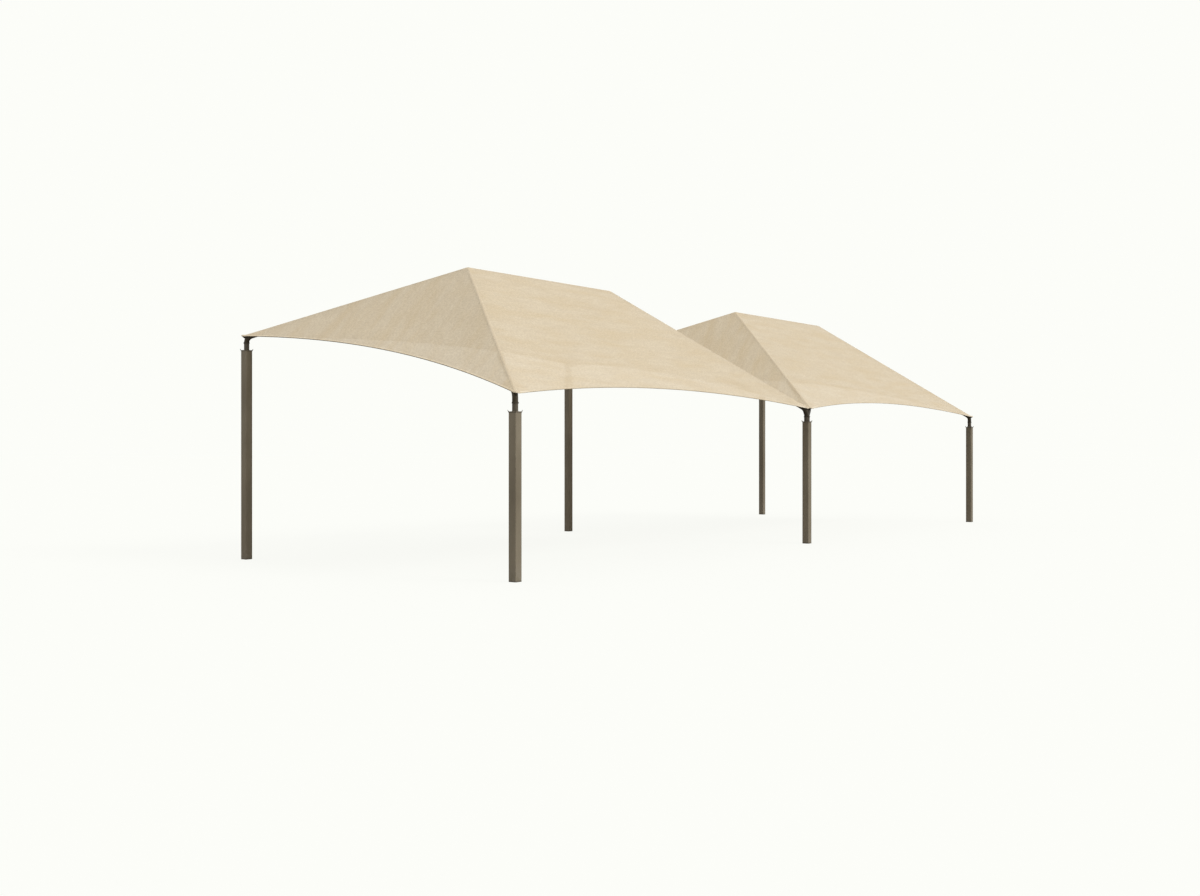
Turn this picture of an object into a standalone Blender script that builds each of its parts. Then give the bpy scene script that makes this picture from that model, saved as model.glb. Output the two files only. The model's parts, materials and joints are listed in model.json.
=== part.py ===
import math

import bmesh
import bpy
from mathutils import Vector

for old in list(bpy.data.objects):
    bpy.data.objects.remove(old, do_unlink=True)

# Driving sizes in metres. X runs along both bays, -Y is the low front row, +Y the tall back row.
BAY_LENGTH = 9.00
ROW_SPACING = 6.10
FRONT_POST_TOP = 2.44
BACK_POST_TOP = 3.60
FRONT_KNEE = 2.705
BACK_KNEE = 3.833
MIDDLE_KNEE_OFFSET = 0.098
HUB_FROM_LEFT = 2.24
HUB_FROM_RIGHT = 2.65
RIDGE_Y = -0.06
RIDGE_HEIGHT = 4.99

# Square posts.
POST_SIDE = 0.140
POST_WALL = 0.006
POST_CORNER = 0.0145
POST_CORNER_STEPS = 4

# Post caps: plate, bent tabs and round neck.
CAP_SIDE = 0.148
CAP_CORNER = 0.008
CAP_CORNER_STEPS = 2
CAP_THICK = 0.012
TAB_THICK = 0.007
TAB_WIDTH = 0.026
TAB_BEND = 0.027
TAB_ROOT = 0.026
TAB_STEPS = 5
NECK_RISE = 0.125
MIDDLE_NECK_RISE = 0.098

# Round frame tube, the stouter neck of the middle posts and their bends.
TUBE_RADIUS = 0.04445
TUBE_WALL = 0.0055
STEM_RADIUS = 0.05715
STEM_WALL = 0.006
ROUND_SIDES = 20
BEND_RADIUS = 0.115
MIDDLE_BEND_RADIUS = 0.14
STEM_BEND_RADIUS = 0.055
BEND_STEPS = 4
ELBOW_LENGTH = 0.22
RING_HEIGHT = 0.022
RING_OVER = 0.005
ARM_SINK = 0.020
ARM_RISE = 0.008
ARM_OFFSET = 0.016
WEB_THICK = 0.008
WEB_TOP_DROP = 0.012
WEB_FOOT_DROP = 0.038
WEB_TOP_HALF = 0.068
WEB_FOOT_HALF = 0.040

# Ears that the hem rope runs through.
EAR_THICK = 0.010
EAR_HALF = 0.0135
EAR_ROOT = 0.070
EAR_HOLE = 0.0080
EAR_STEPS = 8
DRILL_SIDES = 16

# Ridge hubs. Each stub's facets are turned a little so that no two lie in one plane.
HUB_STUB = 0.20
HUB_CORE = 0.0427
FACET_TURN = 0.05

# Canopy cloth and the wire rope in its hem.
CLOTH_THICK = 0.002
CLOTH_CLEAR = 0.0004
SEAM_HALF = 0.00015
CORNER_OUT = 0.07
CORNER_CUT = 0.06
HEM_STOP = 0.11
LONG_SAG = 0.385
END_SAG = 0.373
LONG_STEPS = 18
END_STEPS = 12
ROPE_RADIUS = 0.00475
ROPE_TURN = 0.055
ROPE_TURN_STEPS = 5
HEM_BORE = 0.0055
HEM_OUTER = 0.0080
HEM_SIDES = 8

# Fits: the gap left where pieces touch, and the distance under which cut corners are merged.
SEAT = 0.0003
WELD = 0.00002
SMOOTH_ANGLE = 35

HALF_Y = ROW_SPACING / 2
UP = Vector((0, 0, 1))
RIGHT = Vector((1, 0, 0))
BRONZE = ((0.075, 0.066, 0.045), 0.45, 0.0)
SAND = ((0.66, 0.58, 0.43), 0.85, 0.0)
STEEL = ((0.45, 0.45, 0.44), 0.35, 0.9)


def paint(name, coat):
    colour, roughness, metallic = coat
    mat = bpy.data.materials.new(name)
    mat.use_nodes = True
    shader = mat.node_tree.nodes["Principled BSDF"]
    shader.inputs["Base Color"].default_value = (colour[0], colour[1], colour[2], 1.0)
    shader.inputs["Roughness"].default_value = roughness
    shader.inputs["Metallic"].default_value = metallic
    return mat


def add_object(name, mesh):
    obj = bpy.data.objects.new(name, mesh)
    bpy.context.scene.collection.objects.link(obj)
    return obj


def close_mesh(name, verts, faces):
    # One closed body from its corners and faces, with the faces turned outwards.
    mesh = bpy.data.meshes.new(name)
    mesh.from_pydata([tuple(v) for v in verts], [], faces)
    work = bmesh.new()
    work.from_mesh(mesh)
    bmesh.ops.recalc_face_normals(work, faces=work.faces)
    big = [f for f in work.faces if len(f.verts) > 4]
    bmesh.ops.triangulate(work, faces=big)
    work.to_mesh(mesh)
    work.free()
    return add_object(name, mesh)


def finish(obj, name, coat):
    obj.name = name
    obj.data.name = name
    obj.data.materials.clear()
    obj.data.materials.append(paint(name, coat))
    obj.data.shade_smooth()
    obj.data.set_sharp_from_angle(angle=math.radians(SMOOTH_ANGLE))
    return obj


def weld(mesh):
    work = bmesh.new()
    work.from_mesh(mesh)
    bmesh.ops.remove_doubles(work, verts=work.verts, dist=WELD)
    bmesh.ops.dissolve_degenerate(work, edges=work.edges, dist=WELD)
    work.to_mesh(mesh)
    work.free()


def carve(target, tools, action):
    # Joins the tools to the target, or cuts them out of it, one after another.
    for tool in tools:
        cut = target.modifiers.new("cut", "BOOLEAN")
        cut.operation = action
        cut.solver = "EXACT"
        cut.object = tool
        bpy.context.view_layer.update()
        graph = bpy.context.evaluated_depsgraph_get()
        mesh = bpy.data.meshes.new_from_object(target.evaluated_get(graph))
        target.modifiers.clear()
        target.data = mesh
        bpy.data.objects.remove(tool, do_unlink=True)
        weld(mesh)


def round_path(points, radii):
    # Straight runs joined by arcs; gives each point with its direction.
    result = []
    first = (points[1] - points[0]).normalized()
    result.append((points[0], first))
    for i in range(1, len(points) - 1):
        before = (points[i] - points[i - 1]).normalized()
        after = (points[i + 1] - points[i]).normalized()
        turn = before.angle(after)
        reach = radii[i - 1] * math.tan(turn / 2)
        start = points[i] - before * reach
        side = (after - before * before.dot(after)).normalized()
        centre = start + side * radii[i - 1]
        for k in range(BEND_STEPS + 1):
            a = turn * k / BEND_STEPS
            spot = centre - side * (radii[i - 1] * math.cos(a)) + before * (radii[i - 1] * math.sin(a))
            way = before * math.cos(a) + side * math.sin(a)
            result.append((spot, way))
    last = (points[-1] - points[-2]).normalized()
    result.append((points[-1], last))
    return result


def sweep_rings(path, radius, sides, turned=0.0):
    way = path[0][1]
    ref = RIGHT if way.cross(UP).length < 0.5 else UP
    side = way.cross(ref).normalized()
    rings = []
    for spot, way in path:
        side = (side - way * side.dot(way)).normalized()
        other = way.cross(side)
        ring = []
        for k in range(sides):
            a = turned + 2 * math.pi * k / sides
            ring.append(spot + side * (radius * math.cos(a)) + other * (radius * math.sin(a)))
        rings.append(ring)
    return rings


def rod(name, path, radius, sides, turned=0.0):
    # Solid round bar along a path.
    rings = sweep_rings(path, radius, sides, turned)
    verts = [v for ring in rings for v in ring]
    faces = []
    for i in range(len(rings) - 1):
        for k in range(sides):
            m = (k + 1) % sides
            faces.append((i * sides + k, i * sides + m, (i + 1) * sides + m, (i + 1) * sides + k))
    faces.append(tuple(range(sides)))
    faces.append(tuple((len(rings) - 1) * sides + k for k in range(sides)))
    return close_mesh(name, verts, faces)


def open_tube(name, outer, inner):
    # Tube from two pairs of loops: outer and inner, each at the first and the second end.
    count = len(outer[0])
    verts = outer[0] + outer[1] + inner[0] + inner[1]
    faces = []
    for k in range(count):
        m = (k + 1) % count
        faces.append((k, m, count + m, count + k))
        faces.append((2 * count + m, 2 * count + k, 3 * count + k, 3 * count + m))
        faces.append((m, k, 2 * count + k, 2 * count + m))
        faces.append((count + k, count + m, 3 * count + m, 3 * count + k))
    return close_mesh(name, verts, faces)


def straight(a, b):
    way = (b - a).normalized()
    return [(a, way), (b, way)]


def prism(name, outline, shift):
    # Flat outline given a thickness by the shift.
    count = len(outline)
    verts = outline + [p + shift for p in outline]
    faces = [tuple(range(count)), tuple(range(count, 2 * count))]
    for k in range(count):
        m = (k + 1) % count
        faces.append((k, m, count + m, count + k))
    return close_mesh(name, verts, faces)


def rounded_square(half, radius, steps, z):
    loop = []
    for quarter in range(4):
        turn = quarter * math.pi / 2
        cx = (half - radius) * (math.cos(turn) - math.sin(turn))
        cy = (half - radius) * (math.sin(turn) + math.cos(turn))
        for k in range(steps + 1):
            a = turn + (math.pi / 2) * k / steps
            loop.append(Vector((cx + radius * math.cos(a), cy + radius * math.sin(a), z)))
    return loop


def make_post(name, x, y, top):
    half = POST_SIDE / 2
    inner_half = half - POST_WALL
    inner_corner = POST_CORNER - POST_WALL
    outer = [rounded_square(half, POST_CORNER, POST_CORNER_STEPS, z) for z in (0, top)]
    inner = [rounded_square(inner_half, inner_corner, POST_CORNER_STEPS, z) for z in (0, top)]
    post = finish(open_tube(name, outer, inner), name, BRONZE)
    post.location = (x, y, 0)


def bent_tab(out):
    # Tab bent up from the plate's corner: its side outline, given the tab's width.
    across = Vector((-out.y, out.x, 0))
    centre = out * (CAP_SIDE / math.sqrt(2) - TAB_ROOT) + UP * (CAP_THICK / 2 + TAB_BEND)
    outer = []
    inner = []
    for k in range(TAB_STEPS + 1):
        a = (math.pi / 2) * k / TAB_STEPS
        ray = out * math.sin(a) - UP * math.cos(a)
        outer.append(centre + ray * (TAB_BEND + TAB_THICK / 2))
        inner.append(centre + ray * (TAB_BEND - TAB_THICK / 2))
    outline = [p - across * (TAB_WIDTH / 2) for p in outer + inner[::-1]]
    return prism("tab", outline, across * TAB_WIDTH)


def make_cap(name, x, y, top, rise, radius, wall):
    # Plate on the post's end, four tabs at its corners and the neck pipe through its middle.
    cap = prism(name, rounded_square(CAP_SIDE / 2, CAP_CORNER, CAP_CORNER_STEPS, 0), UP * CAP_THICK)
    neck_top = UP * (rise - SEAT)
    joined = [rod("neck", straight(UP * (CAP_THICK / 2), neck_top), radius, ROUND_SIDES)]
    for sx in (-1, 1):
        for sy in (-1, 1):
            joined.append(bent_tab(Vector((sx, sy, 0)).normalized()))
    carve(cap, joined, "UNION")
    bore = rod("bore", straight(UP * -CAP_THICK, neck_top + UP * CAP_THICK), radius - wall, ROUND_SIDES)
    carve(cap, [bore], "DIFFERENCE")
    finish(cap, name, BRONZE)
    cap.location = (x, y, top + SEAT)


class Plane:
    # Flat plane held as its unit normal and its distance from the origin along it.
    def __init__(self, normal, point):
        self.normal = normal.normalized()
        self.level = self.normal.dot(point)

    def moved(self, distance):
        copy = Plane(self.normal, self.normal * self.level)
        copy.level = self.level + distance
        return copy


def roof_plane(a, b, c):
    normal = (b - a).cross(c - a).normalized()
    if normal.z < 0:
        normal = -normal
    return Plane(normal, a)


def meet(p, q, r):
    # The point where three planes cross.
    cross_qr = q.normal.cross(r.normal)
    cross_rp = r.normal.cross(p.normal)
    cross_pq = p.normal.cross(q.normal)
    return (cross_qr * p.level + cross_rp * q.level + cross_pq * r.level) / p.normal.dot(cross_qr)


PANEL_CORNERS = {
    "front": ("front_left", "front_right"),
    "right": ("front_right", "back_right"),
    "back": ("back_right", "back_left"),
    "left": ("back_left", "front_left"),
}
PANEL_NEIGHBOURS = {
    "front": ("left", "right"),
    "right": ("front", "back"),
    "back": ("right", "left"),
    "left": ("back", "front"),
}


class Bay:
    # One canopied bay: where its rafter lines, cloth planes, corners and curved edges lie.
    def __init__(self, left_knee, right_knee, left_hub, right_hub):
        self.knees = {
            "front_left": Vector((left_knee, -HALF_Y, FRONT_KNEE)),
            "front_right": Vector((right_knee, -HALF_Y, FRONT_KNEE)),
            "back_left": Vector((left_knee, HALF_Y, BACK_KNEE)),
            "back_right": Vector((right_knee, HALF_Y, BACK_KNEE)),
        }
        self.hubs = {
            "left": Vector((left_hub, RIDGE_Y, RIDGE_HEIGHT)),
            "right": Vector((right_hub, RIDGE_Y, RIDGE_HEIGHT)),
        }
        k = self.knees
        h = self.hubs
        self.planes = {
            "front": roof_plane(k["front_left"], k["front_right"], h["left"]),
            "back": roof_plane(k["back_left"], k["back_right"], h["left"]),
            "left": roof_plane(k["front_left"], k["back_left"], h["left"]),
            "right": roof_plane(k["front_right"], k["back_right"], h["right"]),
        }
        self.edges = {
            "front": Plane(Vector((0, -1, 0)), Vector((0, -HALF_Y - CORNER_OUT, 0))),
            "back": Plane(Vector((0, 1, 0)), Vector((0, HALF_Y + CORNER_OUT, 0))),
        }
        middle = TUBE_RADIUS + CLOTH_CLEAR + CLOTH_THICK / 2
        self.corners = {}
        for row in ("front", "back"):
            for end in ("left", "right"):
                self.corners[row + "_" + end] = meet(
                    self.planes[row].moved(middle), self.planes[end].moved(middle), self.edges[row])
        self.apexes = {}
        for end in ("left", "right"):
            self.apexes[end] = meet(self.planes["front"].moved(middle), self.planes["back"].moved(middle),
                                    self.planes[end].moved(middle))

    def hip_way(self, corner):
        end = corner.split("_")[1]
        return (self.hubs[end] - self.knees[corner]).normalized()

    def eave(self, panel, cut):
        # Curved lower edge of one panel, from near its first corner to near its second.
        first, last = PANEL_CORNERS[panel]
        end = "right" if panel == "right" else "left"
        long_side = panel in ("front", "back")
        sag = LONG_SAG if long_side else END_SAG
        steps = LONG_STEPS if long_side else END_STEPS
        start = self.corners[first]
        span = self.corners[last] - start
        along = span.normalized()
        reach = self.apexes[end] - start
        rise = (reach - along * reach.dot(along)).normalized()
        inset = HEM_STOP / span.length
        shares = [inset + (1 - 2 * inset) * i / steps for i in range(steps + 1)]
        if cut < HEM_STOP:
            shares = [cut / span.length] + shares + [1 - cut / span.length]
        return [start + span * t + rise * (4 * sag * t * (1 - t)) for t in shares]


def with_ways(points):
    result = []
    for i, spot in enumerate(points):
        a = points[max(i - 1, 0)]
        b = points[min(i + 1, len(points) - 1)]
        result.append((spot, (b - a).normalized()))
    return result


def seam_plane(bay, first, second, through):
    # Plane of the seam between two panels, facing away from the first.
    n1 = bay.planes[first].normal
    n2 = bay.planes[second].normal
    return Plane(n2 - n1, through)


def make_panel(bay, panel, name):
    # Flat cloth panel with a curved lower edge and a hollow hem for the rope.
    plane = bay.planes[panel]
    points = bay.eave(panel, HEM_STOP)
    first, last = PANEL_CORNERS[panel]
    before, after = PANEL_NEIGHBOURS[panel]
    start_seam = seam_plane(bay, panel, before, bay.knees[first]).moved(-SEAM_HALF)
    end_seam = seam_plane(bay, panel, after, bay.knees[last]).moved(-SEAM_HALF)
    start_way = bay.hip_way(first)
    end_way = bay.hip_way(last)
    start_stop = Plane(start_way, bay.corners[first] + start_way * CORNER_CUT)
    end_stop = Plane(end_way, bay.corners[last] + end_way * CORNER_CUT)
    inner = TUBE_RADIUS + CLOTH_CLEAR
    verts = []
    for level in (inner, inner + CLOTH_THICK):
        face = plane.moved(level)
        verts.append(meet(face, start_seam, start_stop))
        if panel in ("front", "back"):
            across = "back" if panel == "front" else "front"
            ridge = seam_plane(bay, panel, across, bay.hubs["left"]).moved(-SEAM_HALF)
            verts.append(meet(face, start_seam, ridge))
            verts.append(meet(face, end_seam, ridge))
        else:
            verts.append(meet(face, start_seam, end_seam))
        verts.append(meet(face, end_seam, end_stop))
        offset = plane.normal * (level - inner - CLOTH_THICK / 2)
        verts += [p + offset for p in reversed(points)]
    count = len(verts) // 2
    faces = [tuple(range(count)), tuple(range(count, 2 * count))]
    for k in range(count):
        m = (k + 1) % count
        faces.append((k, m, count + m, count + k))
    cloth = close_mesh(name, verts, faces)
    carve(cloth, [rod("hem", with_ways(points), HEM_OUTER, HEM_SIDES)], "UNION")
    rope_line = bay.eave(panel, ROPE_TURN)
    carve(cloth, [rod("bore", with_ways(rope_line), HEM_BORE, HEM_SIDES)], "DIFFERENCE")
    finish(cloth, name, SAND)


def rope_bend(before, corner, after, share):
    # Point on the curve that takes the rope round a corner, from one straight run to the next.
    return before * (1 - share) ** 2 + corner * (2 * share * (1 - share)) + after * share ** 2


def make_rope(bay, name):
    # Endless wire rope: four curved edges joined by four bends.
    spots = []
    panels = list(PANEL_CORNERS)
    for i, panel in enumerate(panels):
        points = bay.eave(panel, ROPE_TURN)
        following = bay.eave(panels[(i + 1) % len(panels)], ROPE_TURN)
        corner = bay.corners[PANEL_CORNERS[panel][1]]
        spots += points
        for k in range(1, ROPE_TURN_STEPS):
            spots.append(rope_bend(points[-1], corner, following[0], k / ROPE_TURN_STEPS))
    count = len(spots)
    verts = []
    for i, spot in enumerate(spots):
        way = (spots[(i + 1) % count] - spots[i - 1]).normalized()
        side = way.cross(UP).normalized()
        other = side.cross(way)
        for k in range(HEM_SIDES):
            a = 2 * math.pi * k / HEM_SIDES
            verts.append(spot + side * (ROPE_RADIUS * math.cos(a)) + other * (ROPE_RADIUS * math.sin(a)))
    faces = []
    for i in range(count):
        j = (i + 1) % count
        for k in range(HEM_SIDES):
            m = (k + 1) % HEM_SIDES
            faces.append((i * HEM_SIDES + k, i * HEM_SIDES + m, j * HEM_SIDES + m, j * HEM_SIDES + k))
    finish(close_mesh(name, verts, faces), name, STEEL)


def rope_corner(bay, corner):
    # Middle of the rope's bend at one corner, where the ear's hole is.
    before = [panel for panel, ends in PANEL_CORNERS.items() if ends[1] == corner][0]
    after = [panel for panel, ends in PANEL_CORNERS.items() if ends[0] == corner][0]
    last = bay.eave(before, ROPE_TURN)[-1]
    first = bay.eave(after, ROPE_TURN)[0]
    return rope_bend(last, bay.corners[corner], first, 0.5)


def ear_and_drill(bay, corner):
    # Flat ear that the hem rope runs through, with the rod that makes its hole.
    hole = rope_corner(bay, corner)
    knee = bay.knees[corner]
    out = Vector((hole.x - knee.x, hole.y - knee.y, 0)).normalized()
    across = Vector((-out.y, out.x, 0))
    outline = []
    for k in range(EAR_STEPS + 1):
        a = math.pi / 2 - math.pi * k / EAR_STEPS
        outline.append(hole + out * (EAR_HALF * math.cos(a)) + UP * (EAR_HALF * math.sin(a)))
    root = Vector((knee.x, knee.y, hole.z))
    outline += [root - UP * EAR_ROOT, root]
    ear = prism("ear", [p - across * (EAR_THICK / 2) for p in outline], across * EAR_THICK)
    drill_line = straight(hole - across * EAR_THICK, hole + across * EAR_THICK)
    drill = rod("drill", drill_line, EAR_HOLE, DRILL_SIDES)
    return ear, drill


def joint_ring(x, y, bottom, radius):
    low = Vector((x, y, bottom))
    return rod("ring", straight(low, low + UP * RING_HEIGHT), radius + RING_OVER, ROUND_SIDES)


def make_corner_elbow(name, bay, corner, post_top):
    # Bent tube from the neck into the hip rafter, with its joint ring and rope ear.
    knee = bay.knees[corner]
    way = bay.hip_way(corner)
    bottom = post_top + NECK_RISE + SEAT
    base = Vector((knee.x, knee.y, bottom + RING_HEIGHT - ARM_SINK))
    far = knee + way * ELBOW_LENGTH
    elbow = rod(name, round_path([base, knee, far], [BEND_RADIUS]), TUBE_RADIUS, ROUND_SIDES)
    ear, drill = ear_and_drill(bay, corner)
    carve(elbow, [joint_ring(knee.x, knee.y, bottom, TUBE_RADIUS), ear], "UNION")
    under = base - UP * RING_HEIGHT
    beyond = far + way * RING_HEIGHT
    inside = TUBE_RADIUS - TUBE_WALL
    bore = rod("bore", round_path([under, knee, beyond], [BEND_RADIUS]), inside, ROUND_SIDES)
    carve(elbow, [bore, drill], "DIFFERENCE")
    finish(elbow, name, BRONZE)


def make_double_elbow(name, row, row_y, post_top):
    # Two bent arms from one ring, one to each bay, with a web plate between them.
    bottom = post_top + MIDDLE_NECK_RISE + SEAT
    elbow = joint_ring(0, row_y, bottom, STEM_RADIUS)
    radii = [STEM_BEND_RADIUS, MIDDLE_BEND_RADIUS]
    joined = []
    cuts = []
    for bay, end, sign in ((left_bay, "right", -1), (right_bay, "left", 1)):
        corner = row + "_" + end
        knee = bay.knees[corner]
        way = bay.hip_way(corner)
        ring_top = Vector((sign * ARM_OFFSET, row_y, bottom + RING_HEIGHT))
        base = ring_top - UP * ARM_SINK
        low = ring_top + UP * ARM_RISE
        far = knee + way * ELBOW_LENGTH
        turned = sign * FACET_TURN
        path = round_path([base, low, knee, far], radii)
        joined.append(rod("arm", path, TUBE_RADIUS, ROUND_SIDES, turned))
        under = base - UP * RING_HEIGHT
        beyond = far + way * RING_HEIGHT
        inner_path = round_path([under, low, knee, beyond], radii)
        cuts.append(rod("bore", inner_path, TUBE_RADIUS - TUBE_WALL, ROUND_SIDES, turned))
        ear, drill = ear_and_drill(bay, corner)
        joined.append(ear)
        cuts.append(drill)
    height = left_bay.knees[row + "_right"].z
    outline = []
    for side, half, drop in ((-1, WEB_TOP_HALF, WEB_TOP_DROP), (1, WEB_TOP_HALF, WEB_TOP_DROP),
                             (1, WEB_FOOT_HALF, WEB_FOOT_DROP), (-1, WEB_FOOT_HALF, WEB_FOOT_DROP)):
        outline.append(Vector((side * half, row_y - WEB_THICK / 2, height - drop)))
    joined.append(prism("web", outline, Vector((0, WEB_THICK, 0))))
    carve(elbow, joined, "UNION")
    carve(elbow, cuts, "DIFFERENCE")
    finish(elbow, name, BRONZE)


def make_hub(name, bay, end):
    # Three tube stubs joined at the end of the ridge, round a ball that closes their meeting point.
    centre = bay.hubs[end]
    ridge_way = RIGHT if end == "left" else -RIGHT
    ways = (ridge_way, -bay.hip_way("front_" + end), -bay.hip_way("back_" + end))
    work = bmesh.new()
    bmesh.ops.create_icosphere(work, subdivisions=3, radius=HUB_CORE)
    bmesh.ops.translate(work, verts=work.verts, vec=centre)
    mesh = bpy.data.meshes.new(name)
    work.to_mesh(mesh)
    work.free()
    hub = add_object(name, mesh)
    inside = TUBE_RADIUS - TUBE_WALL
    stubs = []
    bores = []
    for i, way in enumerate(ways):
        turned = FACET_TURN * (i + 1)
        far = centre + way * HUB_STUB
        stubs.append(rod("stub", straight(centre, far), TUBE_RADIUS, ROUND_SIDES, turned))
        bore_line = straight(centre - way * TUBE_WALL, far + way * TUBE_WALL)
        bores.append(rod("bore", bore_line, inside, ROUND_SIDES, turned))
    carve(hub, stubs, "UNION")
    carve(hub, bores, "DIFFERENCE")
    finish(hub, name, BRONZE)


def make_tube(name, start, stop):
    # Straight length of round frame tube, open at both ends.
    path = straight(start, stop)
    outer = sweep_rings(path, TUBE_RADIUS, ROUND_SIDES)
    inner = sweep_rings(path, TUBE_RADIUS - TUBE_WALL, ROUND_SIDES)
    finish(open_tube(name, outer, inner), name, BRONZE)


left_bay = Bay(-BAY_LENGTH, -MIDDLE_KNEE_OFFSET, HUB_FROM_LEFT - BAY_LENGTH, -HUB_FROM_RIGHT)
right_bay = Bay(MIDDLE_KNEE_OFFSET, BAY_LENGTH, HUB_FROM_LEFT, BAY_LENGTH - HUB_FROM_RIGHT)

for row, row_y, row_top in (("front", -HALF_Y, FRONT_POST_TOP), ("back", HALF_Y, BACK_POST_TOP)):
    for place, post_x in (("left", -BAY_LENGTH), ("middle", 0.0), ("right", BAY_LENGTH)):
        label = row + "_" + place
        make_post("post_" + label, post_x, row_y, row_top)
        if place == "middle":
            make_cap("post_cap_" + label, post_x, row_y, row_top, MIDDLE_NECK_RISE, STEM_RADIUS, STEM_WALL)
            make_double_elbow("double_elbow_" + row, row, row_y, row_top)
        else:
            make_cap("post_cap_" + label, post_x, row_y, row_top, NECK_RISE, TUBE_RADIUS, TUBE_WALL)
            owner = left_bay if place == "left" else right_bay
            make_corner_elbow("corner_elbow_" + label, owner, label, row_top)

for side, bay in (("left", left_bay), ("right", right_bay)):
    label = side + "_bay_"
    for corner, knee in bay.knees.items():
        way = bay.hip_way(corner)
        hub_end = bay.hubs[corner.split("_")[1]] - way * (HUB_STUB + SEAT)
        make_tube("hip_rafter_" + label + corner, knee + way * (ELBOW_LENGTH + SEAT), hub_end)
    ridge_start = bay.hubs["left"] + RIGHT * (HUB_STUB + SEAT)
    ridge_stop = bay.hubs["right"] - RIGHT * (HUB_STUB + SEAT)
    make_tube("ridge_beam_" + side + "_bay", ridge_start, ridge_stop)
    for end in ("left", "right"):
        make_hub("ridge_hub_" + label + end, bay, end)
        make_panel(bay, end, "canopy_" + label + end + "_end")
    for face in ("front", "back"):
        make_panel(bay, face, "canopy_" + label + face)
    make_rope(bay, "hem_cable_" + side + "_bay")
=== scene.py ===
import json
import math
from types import SimpleNamespace

import bmesh
import bpy
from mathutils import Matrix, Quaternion, Vector, noise
from mathutils.bvhtree import BVHTree

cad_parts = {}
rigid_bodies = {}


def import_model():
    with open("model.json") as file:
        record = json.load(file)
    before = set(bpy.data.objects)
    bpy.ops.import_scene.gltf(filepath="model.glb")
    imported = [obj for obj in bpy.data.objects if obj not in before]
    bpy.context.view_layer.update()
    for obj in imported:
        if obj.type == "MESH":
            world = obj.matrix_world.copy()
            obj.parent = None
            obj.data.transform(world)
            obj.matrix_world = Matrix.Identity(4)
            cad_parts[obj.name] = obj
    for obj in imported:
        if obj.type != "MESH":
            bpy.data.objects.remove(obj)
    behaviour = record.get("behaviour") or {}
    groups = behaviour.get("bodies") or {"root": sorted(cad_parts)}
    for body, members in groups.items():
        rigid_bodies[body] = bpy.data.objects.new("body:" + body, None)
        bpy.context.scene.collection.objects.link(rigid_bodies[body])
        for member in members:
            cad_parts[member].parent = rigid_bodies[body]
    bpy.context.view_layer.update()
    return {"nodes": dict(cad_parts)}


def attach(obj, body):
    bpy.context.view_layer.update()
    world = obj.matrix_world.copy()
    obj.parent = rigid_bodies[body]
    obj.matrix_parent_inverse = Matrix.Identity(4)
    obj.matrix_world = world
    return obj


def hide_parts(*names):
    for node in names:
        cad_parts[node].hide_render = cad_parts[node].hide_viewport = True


for old in list(bpy.data.objects):
    bpy.data.objects.remove(old, do_unlink=True)

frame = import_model()
nodes = frame["nodes"]


# Posts: six lengths of square steel tube with rounded corners, three low ones at the front and
# three tall ones at the back. They are powder coated dark bronze and go on into footings below
# ground, so that splashed soil has dulled the coat near the ground.

POST_X = {"left": -9.00, "middle": 0.0, "right": 9.00}
POST_Y = {"front": -3.05, "back": 3.05}
POST_TOP = {"front": 2.44, "back": 3.60}
POST_HALF = 0.070
POST_CORNER = 0.0145
BRONZE = (0.160, 0.131, 0.086, 1.0)
BRONZE_FADED = (0.212, 0.177, 0.121, 1.0)
SOIL = (0.235, 0.205, 0.160, 1.0)
# Painted contact shadow: the coat darkens in the last few centimetres above the ground.
CONTACT_SHADE = (0.055, 0.046, 0.033, 1.0)
BARE_STEEL = (0.36, 0.33, 0.29, 1.0)
SPLASH_HEIGHT = 0.34
CONTACT_SHADE_HEIGHT = 0.030
NECK_SHADE_FADE = 0.012
WORN_EDGE = 0.0022
WELD_REACH = 0.00003
SHARP_FROM = math.radians(32)
post_tops = {(row, place): Vector((x, y, POST_TOP[row]))
             for row, y in POST_Y.items() for place, x in POST_X.items()}


def plug(tree, socket, value):
    # Links another node's output to a socket, or sets a number or a colour on it.
    if isinstance(value, bpy.types.NodeSocket):
        tree.links.new(value, socket)
    else:
        socket.default_value = value


def add(tree, kind, **inputs):
    # Adds a shader node. Each input is a number, a colour or the output of another node.
    made = tree.nodes.new("ShaderNode" + kind)
    for key, value in inputs.items():
        plug(tree, made.inputs[key.replace("_", " ")], value)
    return made


def tinted(tree, share, first, second):
    # Colour that goes from the first to the second as the share goes from 0 to 1.
    made = tree.nodes.new("ShaderNodeMix")
    made.data_type = "RGBA"
    for index, value in ((0, share), (6, first), (7, second)):
        plug(tree, made.inputs[index], value)
    return made.outputs[2]


def spread(tree, value, low, high, start=0.0, stop=1.0):
    made = add(tree, "MapRange", Value=value, From_Min=low, From_Max=high, To_Min=start, To_Max=stop)
    return made.outputs["Result"]


def combined(tree, operation, first, second):
    made = tree.nodes.new("ShaderNodeMath")
    made.operation = operation
    for socket, value in zip(made.inputs, (first, second)):
        plug(tree, socket, value)
    return made.outputs[0]


def grain(tree, place, stretch, detail=3.0):
    # Cloudy pattern with so many clouds to the metre along each direction.
    drawn = add(tree, "Mapping", Vector=place, Scale=stretch).outputs["Vector"]
    return add(tree, "TexNoise", Vector=drawn, Scale=1.0, Detail=detail, Roughness=0.55).outputs["Fac"]


def new_finish(name):
    finish = bpy.data.materials.new(name)
    finish.use_nodes = True
    finish.node_tree.nodes.clear()
    return finish, finish.node_tree


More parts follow.
